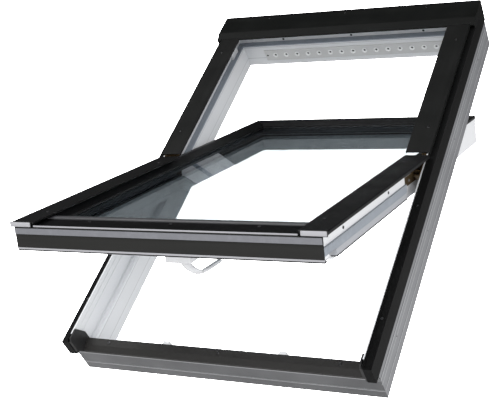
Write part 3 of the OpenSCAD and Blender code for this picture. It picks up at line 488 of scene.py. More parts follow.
@dataclass(frozen=True)
class ExtrudedPvc(Finish):
    """Satin extruded PVC with faint draw lines and a little grime; on the outer faces, painted
    highlight lines on the ribs and painted shade in the grooves and on the sill's lower face.
    """

    colour: Colour
    outer: Colour | None = None
    grain: Grain = Grain.UP_ROOF
    roughness: float = 0.36
    stretch: float = 0.006
    relief: float = 0.00004
    round_off: float = 0.0009
    index: float = 1.53

    def paint(self, graph: Graph) -> None:
        """Fills the node tree."""
        drawn = graph.noise(DRAW_MARKS, graph.stretched(self.grain, self.stretch))
        cloud = graph.noise(PVC_CLOUD)
        grit = graph.noise(PVC_GRIT)
        base: Flow | Colour = self.colour
        if self.outer is not None:
            side, low = self._outside(graph)
            base = graph.mix(side, self.colour, self.outer)
            # Painted shade: the sill's lower face gets a darker copy of the outer grey.
            base = graph.mix(low, base, shade(self.outer, 0.40))
            ridges, grooves = self._rib_highlights_and_groove_shade(graph, side)
            # Painted highlight: the ribs' lines get the light face colour.
            base = graph.mix(ridges * 0.5, base, self.colour)
            # Painted shade: the grooves' lines are darkened.
            base = graph.mix(grooves * 0.35, base, GROOVE_SHADE)
        clouded = graph.mix(cloud.smooth(0.25, 0.8) * 0.10, base, shade(self.colour, 0.72))
        dusty = graph.mix(grit.smooth(0.62, 0.80) * 0.10, clouded, GRIME)
        graph.surface(
            Base_Color=dusty,
            Roughness=drawn * 0.10 + cloud * 0.08 + (self.roughness - 0.09),
            Normal=graph.bump(drawn, self.relief, 0.5, graph.rounded(self.round_off)),
            IOR=self.index,
        )

    @staticmethod
    def _outside(graph: Graph) -> tuple[Flow, Flow]:
        """Masks of the side faces and of the sill's lower face, which gets painted shade."""
        across, along, up = graph.split(graph.place)
        return abs(across).smooth(*SIDE_FACE), 1.0 - (along + up).smooth(*SILL_FOOT_SHADE)

    @staticmethod
    def _rib_highlights_and_groove_shade(graph: Graph, side: Flow) -> tuple[Flow, Flow]:
        """Painted highlights on the raised lines and painted shade in the sunk lines that the
        extruder's die leaves along the profile.
        """
        level = graph.level(ROOF_PITCH)
        ridges = level.bands(RIB_HIGHLIGHT_LINES) + level.bands(SIDE_RIB_HIGHLIGHT_LINES) * side
        grooves = level.bands(GROOVE_SHADE_LINES) + level.bands(SIDE_GROOVE_SHADE_LINES) * side
        return ridges, grooves


@dataclass(frozen=True)
class StripPvc(ExtrudedPvc):
    """Extruded PVC of a side strip, with painted shade on the flange below its seal."""

    # Colour of the painted shade on the flange.
    flange: Colour = (0.36, 0.37, 0.395)
    flange_top: float = 0.0885
    fade: float = 0.001

    def paint(self, graph: Graph) -> None:
        """Fills the node tree."""
        super().paint(graph)
        height = graph.level(SASH_TILT)
        below = 1.0 - height.smooth(self.flange_top - self.fade, self.flange_top)
        # Painted shade: the flange below the seal is painted greyer.
        graph.surface(Base_Color=graph.mix(below, graph.base_colour, self.flange))


@dataclass(frozen=True)
class PowderCoat(Finish):
    """Powder-coated sheet: orange peel, a film of dust, and bare spots with a painted highlight on
    edges.
    """

    colour: Colour
    grain: Grain = Grain.UP_ROOF
    roughness: float = 0.42
    dust: float = 0.015
    wear_and_highlight: float = 0.10
    gloss: float = 0.30
    stretch: float = 0.05
    relief: float = 0.00003
    round_off: float = 0.0011

    def paint(self, graph: Graph) -> None:
        """Fills the node tree."""
        peel = graph.noise(ORANGE_PEEL)
        cloud = graph.noise(DUST_CLOUD)
        streak = graph.noise(RUN_OFF, graph.stretched(self.grain, self.stretch))
        soft = graph.rounded(self.round_off)
        worn_and_highlit = graph.edges(soft, 0.03, 0.22)
        _, _, facing_up = graph.split(graph.geometry("Normal"))
        patches = cloud.smooth(0.35, 0.75) * 0.6 + streak.smooth(0.5, 0.8) * 0.4
        film = facing_up.smooth(0.1, 0.9) * patches
        tinted = graph.mix(streak.smooth(0.3, 0.8) * 0.25, self.colour,
                           shade(self.colour, 1.5, 0.002))
        dusted = graph.mix(film * self.dust, tinted, DUST)
        graph.surface(
            # Edges lightened: partly rubbed bare, partly a painted highlight.
            Base_Color=graph.mix(worn_and_highlit * self.wear_and_highlight, dusted, RUBBED_EDGE_AND_HIGHLIGHT),
            Roughness=film * 0.18 + cloud * 0.10 + (self.roughness - 0.05),
            Normal=graph.bump(peel, self.relief, 0.6, soft),
            Specular_IOR_Level=self.gloss,
        )


@dataclass(frozen=True)
class LippedCoat(PowderCoat):
    """Powder coat on a folded front sheet: bare lips above and below, and painted shade on top."""

    lip: Colour = (0.34, 0.34, 0.36)
    # Colour of the top plate: painted shade.
    top: Colour = (0.006, 0.006, 0.0065)
    low_lip: float = 0.0872
    high_lip: float = 0.1350
    seam: float = 0.0818
    seam_half: float = 0.0013
    lip_stretch: float = 0.01

    def paint(self, graph: Graph) -> None:
        """Fills the node tree."""
        super().paint(graph)
        level = graph.level(SASH_TILT)
        seam = level.bands(((self.seam, self.seam_half),))
        edge = ((level > self.high_lip) + (1.0 - (level > self.low_lip))) * (1.0 - seam)
        up = graph.dot(graph.geometry("True Normal"), tuple(outward(SASH_TILT)))
        streaks = graph.noise(ROLLED_GRAIN, graph.stretched(self.grain, self.lip_stretch))
        metal = graph.mix(streaks, shade(self.lip, 0.85), shade(self.lip, 1.15))
        # Painted shade: faces looking out of the sash's slope are painted near black.
        shaded_top = graph.mix(up > 0.8, graph.base_colour, self.top)
        graph.surface(Base_Color=graph.mix(edge, shaded_top, metal))


@dataclass(frozen=True)
class BareMetal(Finish):
    """Plated or lacquered metal with a fine brushed grain."""

    colour: Colour
    grain: Grain = Grain.UP_SASH
    roughness: float = 0.32
    metallic: float = 1.0
    stain: Colour = (0.10, 0.09, 0.08)
    stretch: float = 0.02
    relief: float = 0.00003
    round_off: float = 0.0006

    def paint(self, graph: Graph) -> None:
        """Fills the node tree."""
        brushed = graph.noise(BRUSHED_GRAIN, graph.stretched(self.grain, self.stretch))
        spots = graph.noise(STAIN_SPOTS)
        bare = self.metallic == 1.0
        graph.surface(
            Base_Color=graph.mix(spots.smooth(0.55, 0.8) * 0.45, self.colour, self.stain),
            Roughness=brushed * 0.16 + spots * 0.14 + (self.roughness - 0.12),
            Metallic=1.0 - spots.smooth(0.60, 0.85) * 0.3 if bare else self.metallic,
            Normal=graph.bump(brushed, self.relief, 0.5, graph.rounded(self.round_off)),
        )


@dataclass(frozen=True)
class Elastomer(Finish):
    """Matt sealing rubber with a dusty bloom."""

    colour: Colour
    roughness: float = 0.68
    relief: float = 0.00004
    round_off: float = 0.0008

    def paint(self, graph: Graph) -> None:
        """Fills the node tree."""
        bloom = graph.noise(RUBBER_BLOOM)
        grain = graph.noise(RUBBER_GRAIN)
        light = shade(self.colour, 1.25, 0.012)
        graph.surface(
            Base_Color=graph.mix(bloom.smooth(0.4, 0.8) * 0.5, self.colour, light),
            Roughness=bloom * 0.16 + (self.roughness - 0.08),
            Normal=graph.bump(grain, self.relief, 0.5, graph.rounded(self.round_off)),
        )


@dataclass(frozen=True)
class MouldedPlastic(Finish):
    """Injection-moulded plastic with an eroded tool texture."""

    colour: Colour
    roughness: float = 0.45
    relief: float = 0.00005
    round_off: float = 0.0008

    def paint(self, graph: Graph) -> None:
        """Fills the node tree."""
        spark = graph.noise(TOOL_TEXTURE)
        cloud = graph.noise(PLASTIC_CLOUD)
        deep = shade(self.colour, 0.86)
        graph.surface(
            Base_Color=graph.mix(cloud.smooth(0.3, 0.75) * 0.4, self.colour, deep),
            Roughness=spark * 0.12 + (self.roughness - 0.06),
            Normal=graph.bump(spark, self.relief, 0.5, graph.rounded(self.round_off)),
        )


@dataclass(frozen=True)
class FilterMat(Finish):
    """Open-cell foam behind the air grille, with painted shade in its pores."""

    colour: Colour
    roughness: float = 0.9
    cell_scale: float = 900.0
    relief: float = 0.0006

    def paint(self, graph: Graph) -> None:
        """Fills the node tree."""
        cells = graph.flow("ShaderNodeTexVoronoi", {"feature": "F1"},
                           {"Vector": graph.place, "Scale": self.cell_scale}, output="Distance")
        graph.surface(
            # Painted shade: the cells' middles, the pores, are darker.
            Base_Color=graph.mix(cells.smooth(0.1, 0.6), shade(self.colour, 0.35), self.colour),
            Roughness=self.roughness,
            Normal=graph.bump(cells, self.relief),
        )


@dataclass(frozen=True)
class FloatGlass(Finish):
    """Coated float glass: clear straight through, a mirror at low angles."""

    tint: Colour = (0.810, 0.830, 0.838)
    mirror: Colour = (0.92, 0.96, 1.0)
    polish: float = 0.012
    index: float = 1.50

    def paint(self, graph: Graph) -> None:
        """Fills the node tree."""
        clear = graph.node("ShaderNodeBsdfTransparent", {}, {"Color": self.tint})
        glossy = graph.node("ShaderNodeBsdfGlossy", {},
                            {"Color": self.mirror, "Roughness": self.polish})
        fresnel = graph.flow("ShaderNodeFresnel", {}, {"IOR": self.index})
        front = 1.0 - graph.geometry("Backfacing")
        dirt = graph.noise(GLASS_DIRT).smooth(0.66, 0.9) * 0.04
        graph.end_with((fresnel + dirt) * front, clear, glossy)
        graph.tree.nodes.remove(graph.shader)


WHITE: Colour = (0.755, 0.765, 0.785)
OUTER_GREY: Colour = (0.150, 0.153, 0.164)

JAMB_PVC = ExtrudedPvc("jamb_pvc", WHITE, OUTER_GREY, Grain.UP_ROOF)
RAIL_PVC = ExtrudedPvc("rail_pvc", WHITE, OUTER_GREY, Grain.ACROSS)
SASH_STILE_PVC = ExtrudedPvc("sash_stile_pvc", WHITE, None, Grain.UP_SASH)
STRIP_PVC = StripPvc("strip_pvc", WHITE, None, Grain.UP_SASH)
SASH_RAIL_PVC = ExtrudedPvc("sash_rail_pvc", WHITE, None, Grain.ACROSS)
HOOD_COAT = PowderCoat("hood_coat", (0.0042, 0.0047, 0.0044), Grain.ACROSS, 0.52, gloss=0.12)
COVER_COAT = PowderCoat("cover_coat", (0.0060, 0.0064, 0.0062), Grain.UP_ROOF, 0.44)
SASH_COVER_COAT = PowderCoat("sash_cover_coat", (0.0060, 0.0062, 0.0068), Grain.UP_SASH, 0.44)
BEAD_COAT = PowderCoat("bead_coat", (0.0050, 0.0054, 0.0060), Grain.UP_SASH, 0.36)
# The bottom bead is painted much lighter than the other beads: painted highlight.
LIT_LOW_BEAD_COAT = PowderCoat("low_bead_coat", (0.055, 0.056, 0.060), Grain.ACROSS, 0.34, gloss=0.5)
CHANNEL_COAT = PowderCoat("channel_coat", (0.0048, 0.0050, 0.0051), Grain.UP_ROOF, 0.55,
                          gloss=0.08)
SILL_COAT = PowderCoat("sill_coat", (0.0215, 0.0208, 0.0200), Grain.ACROSS, 0.46, wear_and_highlight=0.8,
                       gloss=0.25)
FASCIA_COAT = LippedCoat("fascia_coat", (0.0185, 0.0185, 0.0177), Grain.ACROSS, 0.50, gloss=0.12)
ZINC = BareMetal("zinc", (0.46, 0.47, 0.48))
TUBE_STEEL = BareMetal("tube_steel", (0.38, 0.39, 0.40), Grain.UP_ROOF, 0.42)
BRONZE = BareMetal("bronze_lacquer", (0.11, 0.075, 0.035), Grain.UP_SASH, 0.36, 0.6)
DARK_SCREW = BareMetal("dark_screw", (0.11, 0.11, 0.115), Grain.ACROSS, 0.34)
SCREW_STEEL = BareMetal("screw_steel", (0.42, 0.42, 0.43), Grain.ACROSS, 0.30)
BLACK_RUBBER = Elastomer("black_rubber", (0.022, 0.022, 0.024))
GREY_SEAL = Elastomer("grey_seal", (0.30, 0.32, 0.35), 0.60)
FASCIA_SEAL = Elastomer("fascia_seal", (0.155, 0.158, 0.175), 0.55)
SIDE_SEAL = Elastomer("side_seal", (0.25, 0.275, 0.31), 0.55)
DARK_BLOCK = MouldedPlastic("dark_block", (0.013, 0.013, 0.0135), 0.50)
END_CAP = MouldedPlastic("end_cap", (0.185, 0.187, 0.198), 0.45)
GRILLE_PLASTIC = MouldedPlastic("grille_plastic", (0.62, 0.62, 0.62), 0.40)
# The grille's cups: a lighter copy of the grille's plastic, a painted highlight.
LIT_CUP_PLASTIC = MouldedPlastic("cup_plastic", (0.86, 0.86, 0.865), 0.22)
HANDLE_LACQUER = MouldedPlastic("handle_lacquer", (0.70, 0.705, 0.72), 0.25, 0.00002)
STRIKER_LACQUER = MouldedPlastic("striker_lacquer", (0.78, 0.785, 0.80), 0.35, 0.00002)
GRIP_STRIP = Elastomer("grip_strip", (0.10, 0.11, 0.125))
SPACER_BAR = BareMetal("spacer_bar", (0.045, 0.05, 0.055), Grain.ACROSS, 0.40, 0.4)
FILTER = FilterMat("filter_mat", (0.10, 0.10, 0.11))
GLASS = FloatGlass("float_glass")

# Each finish with its CAD nodes, where * stands for both left and right.
FINISHED_NODES: tuple[tuple[Finish, str], ...] = (
    (JAMB_PVC, "frame_jamb_*"),
    (RAIL_PVC, "frame_head frame_sill"),
    (TUBE_STEEL, "jamb_steel_* stile_steel_*"),
    (CHANNEL_COAT, "side_channel_*"),
    (SILL_COAT, "sill_cladding"),
    (HOOD_COAT, "head_hood"),
    (DARK_BLOCK, "hood_supports corner_block_*"),
    (COVER_COAT, "upper_cover_*"),
    (GREY_SEAL, "frame_gasket"),
    (GRILLE_PLASTIC, "vent_grille"),
    (FILTER, "vent_filter"),
    (SASH_STILE_PVC, "side_stop sash_stile_*"),
    (BRONZE, "frame_hinge_* sash_hinge_*"),
    (STRIKER_LACQUER, "striker_*"),
    (SCREW_STEEL, "cladding_screws frame_screws frame_hinge_screws sash_screws sash_hinge_screws"),
    (SASH_RAIL_PVC, "sash_top_rail sash_bottom_rail"),
    (STRIP_PVC, "side_strip_*"),
    (SIDE_SEAL, "side_seal_*"),
    (BLACK_RUBBER, "sash_gasket glass_gaskets"),
    (GLASS, "outer_pane inner_pane"),
    (SPACER_BAR, "pane_spacer"),
    (BEAD_COAT, "glazing_bead_* glazing_bead_top"),
    (LIT_LOW_BEAD_COAT, "glazing_bead_bottom"),
    (SASH_COVER_COAT, "lower_cover_*"),
    (END_CAP, "cover_end_*"),
    (FASCIA_COAT, "sash_fascia"),
    (FASCIA_SEAL, "fascia_gasket"),
    (HANDLE_LACQUER, "handle_base handle_lever"),
    (GRIP_STRIP, "grip_insert"),
    (ZINC, "handle_spindle lock_bar"),
)
NODE_FINISHES = {
    name.replace("*", side.name.lower()): finish
    for finish, names in FINISHED_NODES for name in names.split() for side in Side
}


def dress_nodes() -> None:
    """Gives each CAD node its finish."""
    for name, node in frame["nodes"].items():
        material = NODE_FINISHES[name].build()
        if not node.material_slots:
            node.data.materials.append(material)
        for slot in node.material_slots:
            slot.material = material
        log.info("dressed %s with %s", name, material.name)


# Places


class Local:
    """The frame's or the sash's own axes: X across, Y up its slope, Z out of it."""

    def __init__(self, tilt: float) -> None:
        """Takes the axes at the given tilt about the turning axis.

        Args:
            tilt: Angle of the slope over the horizontal, in radians.
        """
        self.matrix = (
            Matrix.Translation(AXIS_PLACE)
            @ Matrix.Rotation(tilt, 4, "X")
            @ Matrix.Translation((0.0, -AXIS_Y, -AXIS_Z))
        )

    def box(self, node: str) -> tuple[Vector, Vector]:
        """A node's lowest and highest corners along these axes.

        Args:
            node: Name of the CAD node.

        Returns:
            The two corners.
        """
        back = self.matrix.inverted()
        points = [back @ vertex.co for vertex in frame["nodes"][node].data.vertices]
        return (Vector(min(p[i] for p in points) for i in range(3)),
                Vector(max(p[i] for p in points) for i in range(3)))


ROOF = Local(ROOF_PITCH)
SASH = Local(SASH_TILT)


class Piece:
    """A mesh in the making, which ends as one object riding on a body."""

    def __init__(self, name: str) -> None:
        """Starts an empty mesh.

        Args:
            name: The piece's name.
        """
        self.name = name
        self.shape = bmesh.new()

    def box(self, low: Sequence[float], high: Sequence[float], edge: float,
            segments: int = 2) -> None:
        """Adds a block with bevelled edges.

        Args:
            low: Lowest corner.
            high: Highest corner.
            edge: Bevel's width.
            segments: Bevel's segments.
        """
        low, high = Vector(low), Vector(high)
        place = Matrix.Translation((low + high) / 2) @ Matrix.Diagonal((*(high - low), 1.0))
        made = bmesh.ops.create_cube(self.shape, size=1.0, matrix=place)
        sides = {side for vertex in made["verts"] for side in vertex.link_edges}
        bmesh.ops.bevel(self.shape, geom=list(sides), offset=edge, segments=segments, profile=0.5,
                        affect="EDGES", material=-1, clamp_overlap=True)

    def turned(self, outline: Sequence[tuple[float, float]], place: Matrix,
               steps: int = 24) -> None:
        """Adds a solid of revolution about its own Z.

        Args:
            outline: Radius and height of each point, from one end to the other.
            place: Where it goes.
            steps: Segments round it.
        """
        known = set(self.shape.verts)
        verts = [self.shape.verts.new((radius, 0.0, height)) for radius, height in outline]
        edges = [self.shape.edges.new(pair) for pair in zip(verts, verts[1:])]
        bmesh.ops.spin(self.shape, geom=verts + edges, axis=(0.0, 0.0, 1.0), cent=(0.0, 0.0, 0.0),
                       dvec=(0.0, 0.0, 0.0), angle=math.tau, steps=steps, use_merge=True)
        fresh = [vertex for vertex in self.shape.verts if vertex not in known]
        bmesh.ops.remove_doubles(self.shape, verts=fresh, dist=WELD)
        fresh = [vertex for vertex in self.shape.verts if vertex not in known]
        bmesh.ops.transform(self.shape, matrix=place, verts=fresh)

    def finish(self, body: str, material: bpy.types.Material, local: Local | None = None,
               stands_for: Iterable[str] = (), smooth: float = 35.0,
               subdivide: int = 0) -> None:
        """Makes the object.

        Args:
            body: Body that it rides on.
            material: Its finish.
            local: Axes that it was drawn in, or None for the row frame.
            stands_for: CAD nodes that it replaces.
            smooth: Edges sharper than this many degrees stay hard.
            subdivide: Levels of subdivision.
        """
        if local is not None:
            self.shape.transform(local.matrix)
        bmesh.ops.recalc_face_normals(self.shape, faces=self.shape.faces[:])
        for face in self.shape.faces:
            face.smooth = True
        limit = math.radians(smooth)
        for side in self.shape.edges:
            side.smooth = len(side.link_faces) == 2 and side.calc_face_angle(0.0) < limit
        mesh = bpy.data.meshes.new(self.name)
        self.shape.to_mesh(mesh)
        self.shape.free()
        mesh.materials.append(material)
        made = bpy.data.objects.new(self.name, mesh)
        bpy.context.scene.collection.objects.link(made)
        if subdivide:
            soft = made.modifiers.new("soft", "SUBSURF")
            soft.levels = soft.render_levels = subdivide
        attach(made, body)
        for node in stands_for:
            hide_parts(node)
        log.info("built %s on %s", self.name, body)


# Fasteners


@dataclass
class Screws:
    """Pan-head screws with a cross recess, one for each of a CAD node's."""

    node: str
    body: str
    metal: Finish
    head_r: float = 0.0034
    head_h: float = 0.0016
    recess_l: float = 0.0019
    recess_w: float = 0.00045
    tip_r: float = 0.0012
    neck_r: float = 0.0018
    head_steps: int = 32
    shank_steps: int = 16
    weld: float = 1e-6

    def build(self) -> None:
        """Builds the heads and shanks."""
        pattern = self._pattern()
        piece = Piece(self.node + "_detail")
        for place, length in self._places():
            copy = pattern.copy()
            depth = length - self.head_h
            screw = bmesh.new()
            screw.from_mesh(copy)
            if length > 2 * self.head_h:
                bmesh.ops.create_cone(screw, cap_ends=True, segments=self.shank_steps,
                                      radius1=self.tip_r, radius2=self.neck_r, depth=depth,
                                      matrix=Matrix.Translation((0.0, 0.0, -depth / 2)))
            screw.transform(place)
            screw.to_mesh(copy)
            screw.free()
            piece.shape.from_mesh(copy)
            bpy.data.meshes.remove(copy)
        bpy.data.meshes.remove(pattern)
        piece.finish(self.body, self.metal.build(), stands_for=[self.node])

    def _pattern(self) -> bpy.types.Mesh:
        """One head with its recess, seated at the origin and pointing along Z."""
        head = Piece("head")
        outline = ((0.0, 0.0), (self.head_r, 0.0), (self.head_r, 0.45 * self.head_h),
                   (0.90 * self.head_r, 0.80 * self.head_h),
                   (0.60 * self.head_r, 0.96 * self.head_h), (0.0, self.head_h))
        head.turned(outline, Matrix.Identity(4), self.head_steps)
        bmesh.ops.recalc_face_normals(head.shape, faces=head.shape.faces[:])
        cutter = bmesh.new()
        lift = Matrix.Translation((0.0, 0.0, 1.1 * self.head_h))
        size = Matrix.Diagonal((2 * self.recess_l, 2 * self.recess_w, 1.2 * self.head_h, 1.0))
        for turn in (0.0, math.pi / 2):
            bmesh.ops.create_cube(cutter, size=1.0,
                                  matrix=lift @ Matrix.Rotation(turn, 4, "Z") @ size)
        return self._cut(head.shape, cutter)

    @staticmethod
    def _cut(solid: bmesh.types.BMesh, cutter: bmesh.types.BMesh) -> bpy.types.Mesh:
        """Takes the cutter out of the solid."""
        made = []
        for name, shape in (("screw_head", solid), ("screw_recess", cutter)):
            mesh = bpy.data.meshes.new(name)
            shape.to_mesh(mesh)
            shape.free()
            made.append(bpy.data.objects.new(name, mesh))
            bpy.context.scene.collection.objects.link(made[-1])
        step = made[0].modifiers.new("recess", "BOOLEAN")
        step.operation, step.object, step.use_self = "DIFFERENCE", made[1], True
        graph = bpy.context.evaluated_depsgraph_get()
        result = bpy.data.meshes.new_from_object(made[0].evaluated_get(graph))
        for each in made:
            bpy.data.objects.remove(each)
        return result

    def _places(self) -> list[tuple[Matrix, float]]:
        """Seat and length of each of the node's screws."""
        shape = bmesh.new()
        shape.from_mesh(frame["nodes"][self.node].data)
        bmesh.ops.remove_doubles(shape, verts=shape.verts[:], dist=self.weld)
        left, found = set(shape.verts), []
        while left:
            stack, island = [left.pop()], []
            while stack:
                vertex = stack.pop()
                island.append(vertex.co.copy())
                near = {side.other_vert(vertex) for side in vertex.link_edges} & left
                left -= near
                stack.extend(near)
            found.append(self._read(island))
        shape.free()
        return found

    def _read(self, points: list[Vector]) -> tuple[Matrix, float]:
        """Seat and length of one screw, from its points."""
        centre = sum(points, Vector()) / len(points)
        cloud = numpy.array([point - centre for point in points])
        values, vectors = numpy.linalg.eigh(cloud.T @ cloud)
        odd = 0 if values[1] - values[0] > values[2] - values[1] else 2
        axis = Vector(vectors[:, odd]).normalized()
        reach = [(point - centre).dot(axis) for point in points]
        _, wide = max(zip(points, reach),
                      key=lambda each: ((each[0] - centre) - each[1] * axis).length)
        if max(reach) - min(reach) < 2 * self.head_h:
            if axis.dot(DOWN_SLOPE) < 0:
                axis = -axis
        elif wide < 0.0:
            axis = -axis
        reach = [(point - centre).dot(axis) for point in points]
        length = max(reach) - min(reach)
        seat = centre + axis * (max(reach) - self.head_h)
        turn = axis.to_track_quat("Z", "Y").to_matrix().to_4x4()
        return Matrix.Translation(seat) @ turn, length


# Handle


@dataclass
class Handle:
    """Lacquered handle: a rounded lever on a rounded base."""

    sides: int = 20
    edge: float = 0.0035
    hub_in: float = 0.012
    grip_in: float = 0.007
    plug_in: float = 0.0145
    grip_start: float = 0.010
    sink: float = 0.0001
    collar: tuple = ((0.0, 0.0), (0.0150, 0.0), (0.0150, 0.0006), (0.0144, 0.0012), (0.0, 0.0012))
    plug: tuple = ((0.0, 0.0), (0.0034, 0.0), (0.0034, 0.0009), (0.0028, 0.0012), (0.0, 0.0012))
    grip: tuple = ((0.10, (0.0050, 0.0069)), (0.35, (0.0049, 0.0069)), (0.70, (0.0049, 0.0069)),
                   (0.93, (0.0048, 0.0067)), (0.985, (0.0038, 0.0054)), (1.0, (0.0012, 0.0020)))

    def build(self) -> None:
        """Builds the base and the lever."""
        self._base()
        self._lever()

    def _base(self) -> None:
        """The block on the rail, with a raised collar round the shaft and a screw's plug."""
        low, high = SASH.box("handle_base")
        axis_x = SASH.box("handle_lever")[0].x + self.hub_in
        axis_y = (low.y + high.y) / 2
        floor = low.z - self.sink
        piece = Piece("handle_base_shell")
        piece.box((low.x, low.y, low.z + 0.0008), high, self.edge, 4)
        piece.turned(self.collar, Matrix.Translation((axis_x, axis_y, floor)), 40)
        piece.turned(self.plug, Matrix.Translation((low.x + self.plug_in, axis_y, floor)), 24)
        piece.finish("sash", HANDLE_LACQUER.build(), SASH, ["handle_base"])

    def _lever(self) -> None:
        """A tube of changing section, drawn from the hub out to the grip's end."""
        low, high = SASH.box("handle_lever")
        hub_x, grip_x = low.x + self.hub_in, high.x - self.grip_in
        shaft_y, top = low.y + self.hub_in, high.z
        course = (
            ((hub_x, shaft_y, top), (0.0119, 0.0118), 0.0),
            ((hub_x, shaft_y, top - 0.0035), (0.0119, 0.0116), 0.0),
            ((hub_x + 0.0025, shaft_y, top - 0.0095), (0.0112, 0.0092), 14.0),
            ((hub_x + 0.011, shaft_y + 0.0005, 0.52 * top), (0.0094, 0.0084), 32.0),
            ((grip_x - 0.004, shaft_y + 0.003, low.z + 0.0085), (0.0078, 0.0080), 58.0),
        )
        piece = Piece("handle_lever_shell")
        shape = piece.shape
        ring = bmesh.ops.create_circle(shape, cap_ends=True, segments=self.sides,
                                       radius=1.0)["verts"]
        self._place(shape, ring, *course[0], 0.0)
        for place, radii, lean in course[1:]:
            ring = self._step(shape, ring, place, radii, lean, 0.0)
        for along, radii in self.grip:
            y = shaft_y + self.grip_start + along * (high.y - shaft_y - self.grip_start)
            ring = self._step(shape, ring, (grip_x, y, low.z + 0.005), radii, 90.0, 90.0)
        bmesh.ops.contextual_create(shape, geom=ring)
        piece.finish("lever", HANDLE_LACQUER.build(), SASH, ["handle_lever"], smooth=60.0,
                     subdivide=1)

    def _step(self, shape: bmesh.types.BMesh, ring: list, place: Sequence[float],
              radii: tuple[float, float], lean: float, swing: float) -> list:
        """Draws the tube on to its next ring."""
        around = set(ring)
        near = {side for vertex in ring for side in vertex.link_edges}
        sides = [side for side in near if set(side.verts) <= around]
        grown = bmesh.ops.extrude_edge_only(shape, edges=sides)["geom"]
        fresh = [item for item in grown if isinstance(item, bmesh.types.BMVert)]
        bmesh.ops.transform(shape, matrix=self._last.inverted(), verts=fresh)
        self._place(shape, fresh, place, radii, lean, swing)
        return fresh

    def _place(self, shape: bmesh.types.BMesh, ring: list, place: Sequence[float],
               radii: tuple[float, float], lean: float, swing: float) -> None:
        """Moves a unit circle to its place on the course and remembers how."""
        turn = (Matrix.Rotation(math.radians(swing), 4, "Z")
                @ Matrix.Rotation(math.radians(-lean), 4, "Y"))
        self._last = Matrix.Translation(place) @ turn @ Matrix.Diagonal((*radii, 1.0, 1.0))
        bmesh.ops.transform(shape, matrix=self._last, verts=ring)


# Trim


@dataclass
class CoverCap:
    """Moulded cap that closes a side cover's lower end, with a dark rim."""

    side: Side
    inset: float = 0.005
    rim: float = 0.0012
    rise: float = 0.0012
    cap_edge: float = 0.0016
    rim_edge: float = 0.0005

    def build(self) -> None:
        """Builds the cap and its rim."""
        node = "cover_end_" + self.side.name.lower()
        low, high = SASH.box(node)
        high.z += self.rise
        if self.side is Side.RIGHT:
            low.x += self.inset
        else:
            high.x -= self.inset
        cap = Piece(node + "_cap")
        cap.box((low.x + self.rim, low.y, low.z + self.rim),
                (high.x - self.rim, high.y - self.rim, high.z - self.rim), self.cap_edge, 3)
        cap.finish("sash", END_CAP.build(), SASH, [node])
        rim = Piece(node + "_rim")
        rim.box((low.x, high.y - 2 * self.rim, low.z), (high.x, high.y, high.z), self.rim_edge, 2)
        rim.finish("sash", DARK_BLOCK.build(), SASH)


@dataclass
class StripToe:
    """White toe that closes a side strip's lower end behind the fascia."""

    side: Side
    length: float = 0.0355
    height: float = 0.0074
    lift: float = 0.0022
    gap: float = 0.0003
    edge: float = 0.0008

    def build(self) -> None:
        """Builds the toe."""
        low, high = SASH.box("side_strip_" + self.side.name.lower())
        floor = SASH.box("sash_fascia")[0].z + self.lift
        toe = Piece("side_strip_toe_" + self.side.name.lower())
        toe.box((low.x, low.y + self.gap, floor),
                (high.x, low.y + self.length, floor + self.height), self.edge, 2)
        toe.finish("sash", SASH_STILE_PVC.build(), SASH)


@dataclass
class LowBeadCrown:
    """Rounded crown on the bead along the lower edge of the glass."""

    height: float = 0.0052
    width: float = 0.0170
    edge: float = 0.0036

    def build(self) -> None:
        """Builds the crown."""
        low, high = SASH.box("glazing_bead_bottom")
        crown = Piece("glazing_bead_bottom_crown")
        crown.box((low.x, low.y, high.z - self.height / 2),
                  (high.x, low.y + self.width, high.z + self.height), self.edge, 5)
        # The crown takes the bottom bead's lighter coat, a painted highlight.
        crown.finish("sash", LIT_LOW_BEAD_COAT.build(), SASH)


@dataclass
class GrilleCups:
    """Dished rims round the holes of the air grille."""

    count: int = 15
    pitch: float = 0.036
    hole_r: float = 0.0065
    steps: int = 28

    def build(self) -> None:
        """Builds one cup for each hole."""
        low, high = ROOF.box("vent_grille")
        face, middle = low.y, (low.z + high.z) / 2
        piece = Piece("vent_grille_cups")
        outline = ((self.hole_r + 0.0018, -0.0001), (self.hole_r + 0.0015, 0.0007),
                   (self.hole_r, 0.0008), (0.0034, -0.0014), (0.0030, -0.0016),
                   (0.0030, -0.0019), (self.hole_r - 0.0002, -0.0003),
                   (self.hole_r + 0.0018, -0.0001))
        turn = Matrix.Rotation(math.radians(90.0), 4, "X")
        for number in range(self.count):
            across = (number - (self.count - 1) / 2) * self.pitch
            piece.turned(outline, Matrix.Translation((across, face, middle)) @ turn, self.steps)
        # The cups take the lighter plastic: painted highlight.
        piece.finish("frame", LIT_CUP_PLASTIC.build(), ROOF)


# Studio


@dataclass
class SoftBox:
    """A rectangular studio light that faces a point."""

    name: str
    place: Vector
    size: tuple[float, float]
    power: float
    target: Vector = field(default_factory=lambda: Vector((0.0, 0.35, 0.4)))

    def build(self) -> None:
        """Adds the light."""
        data = bpy.data.lights.new(self.name, "AREA")
        data.shape = "RECTANGLE"
        data.size, data.size_y = self.size
        data.energy = self.power
        made = bpy.data.objects.new(self.name, data)
        made.location = self.place
        made.rotation_mode = "QUATERNION"
        made.rotation_quaternion = (self.target - self.place).to_track_quat("-Z", "Y")
        bpy.context.scene.collection.objects.link(made)


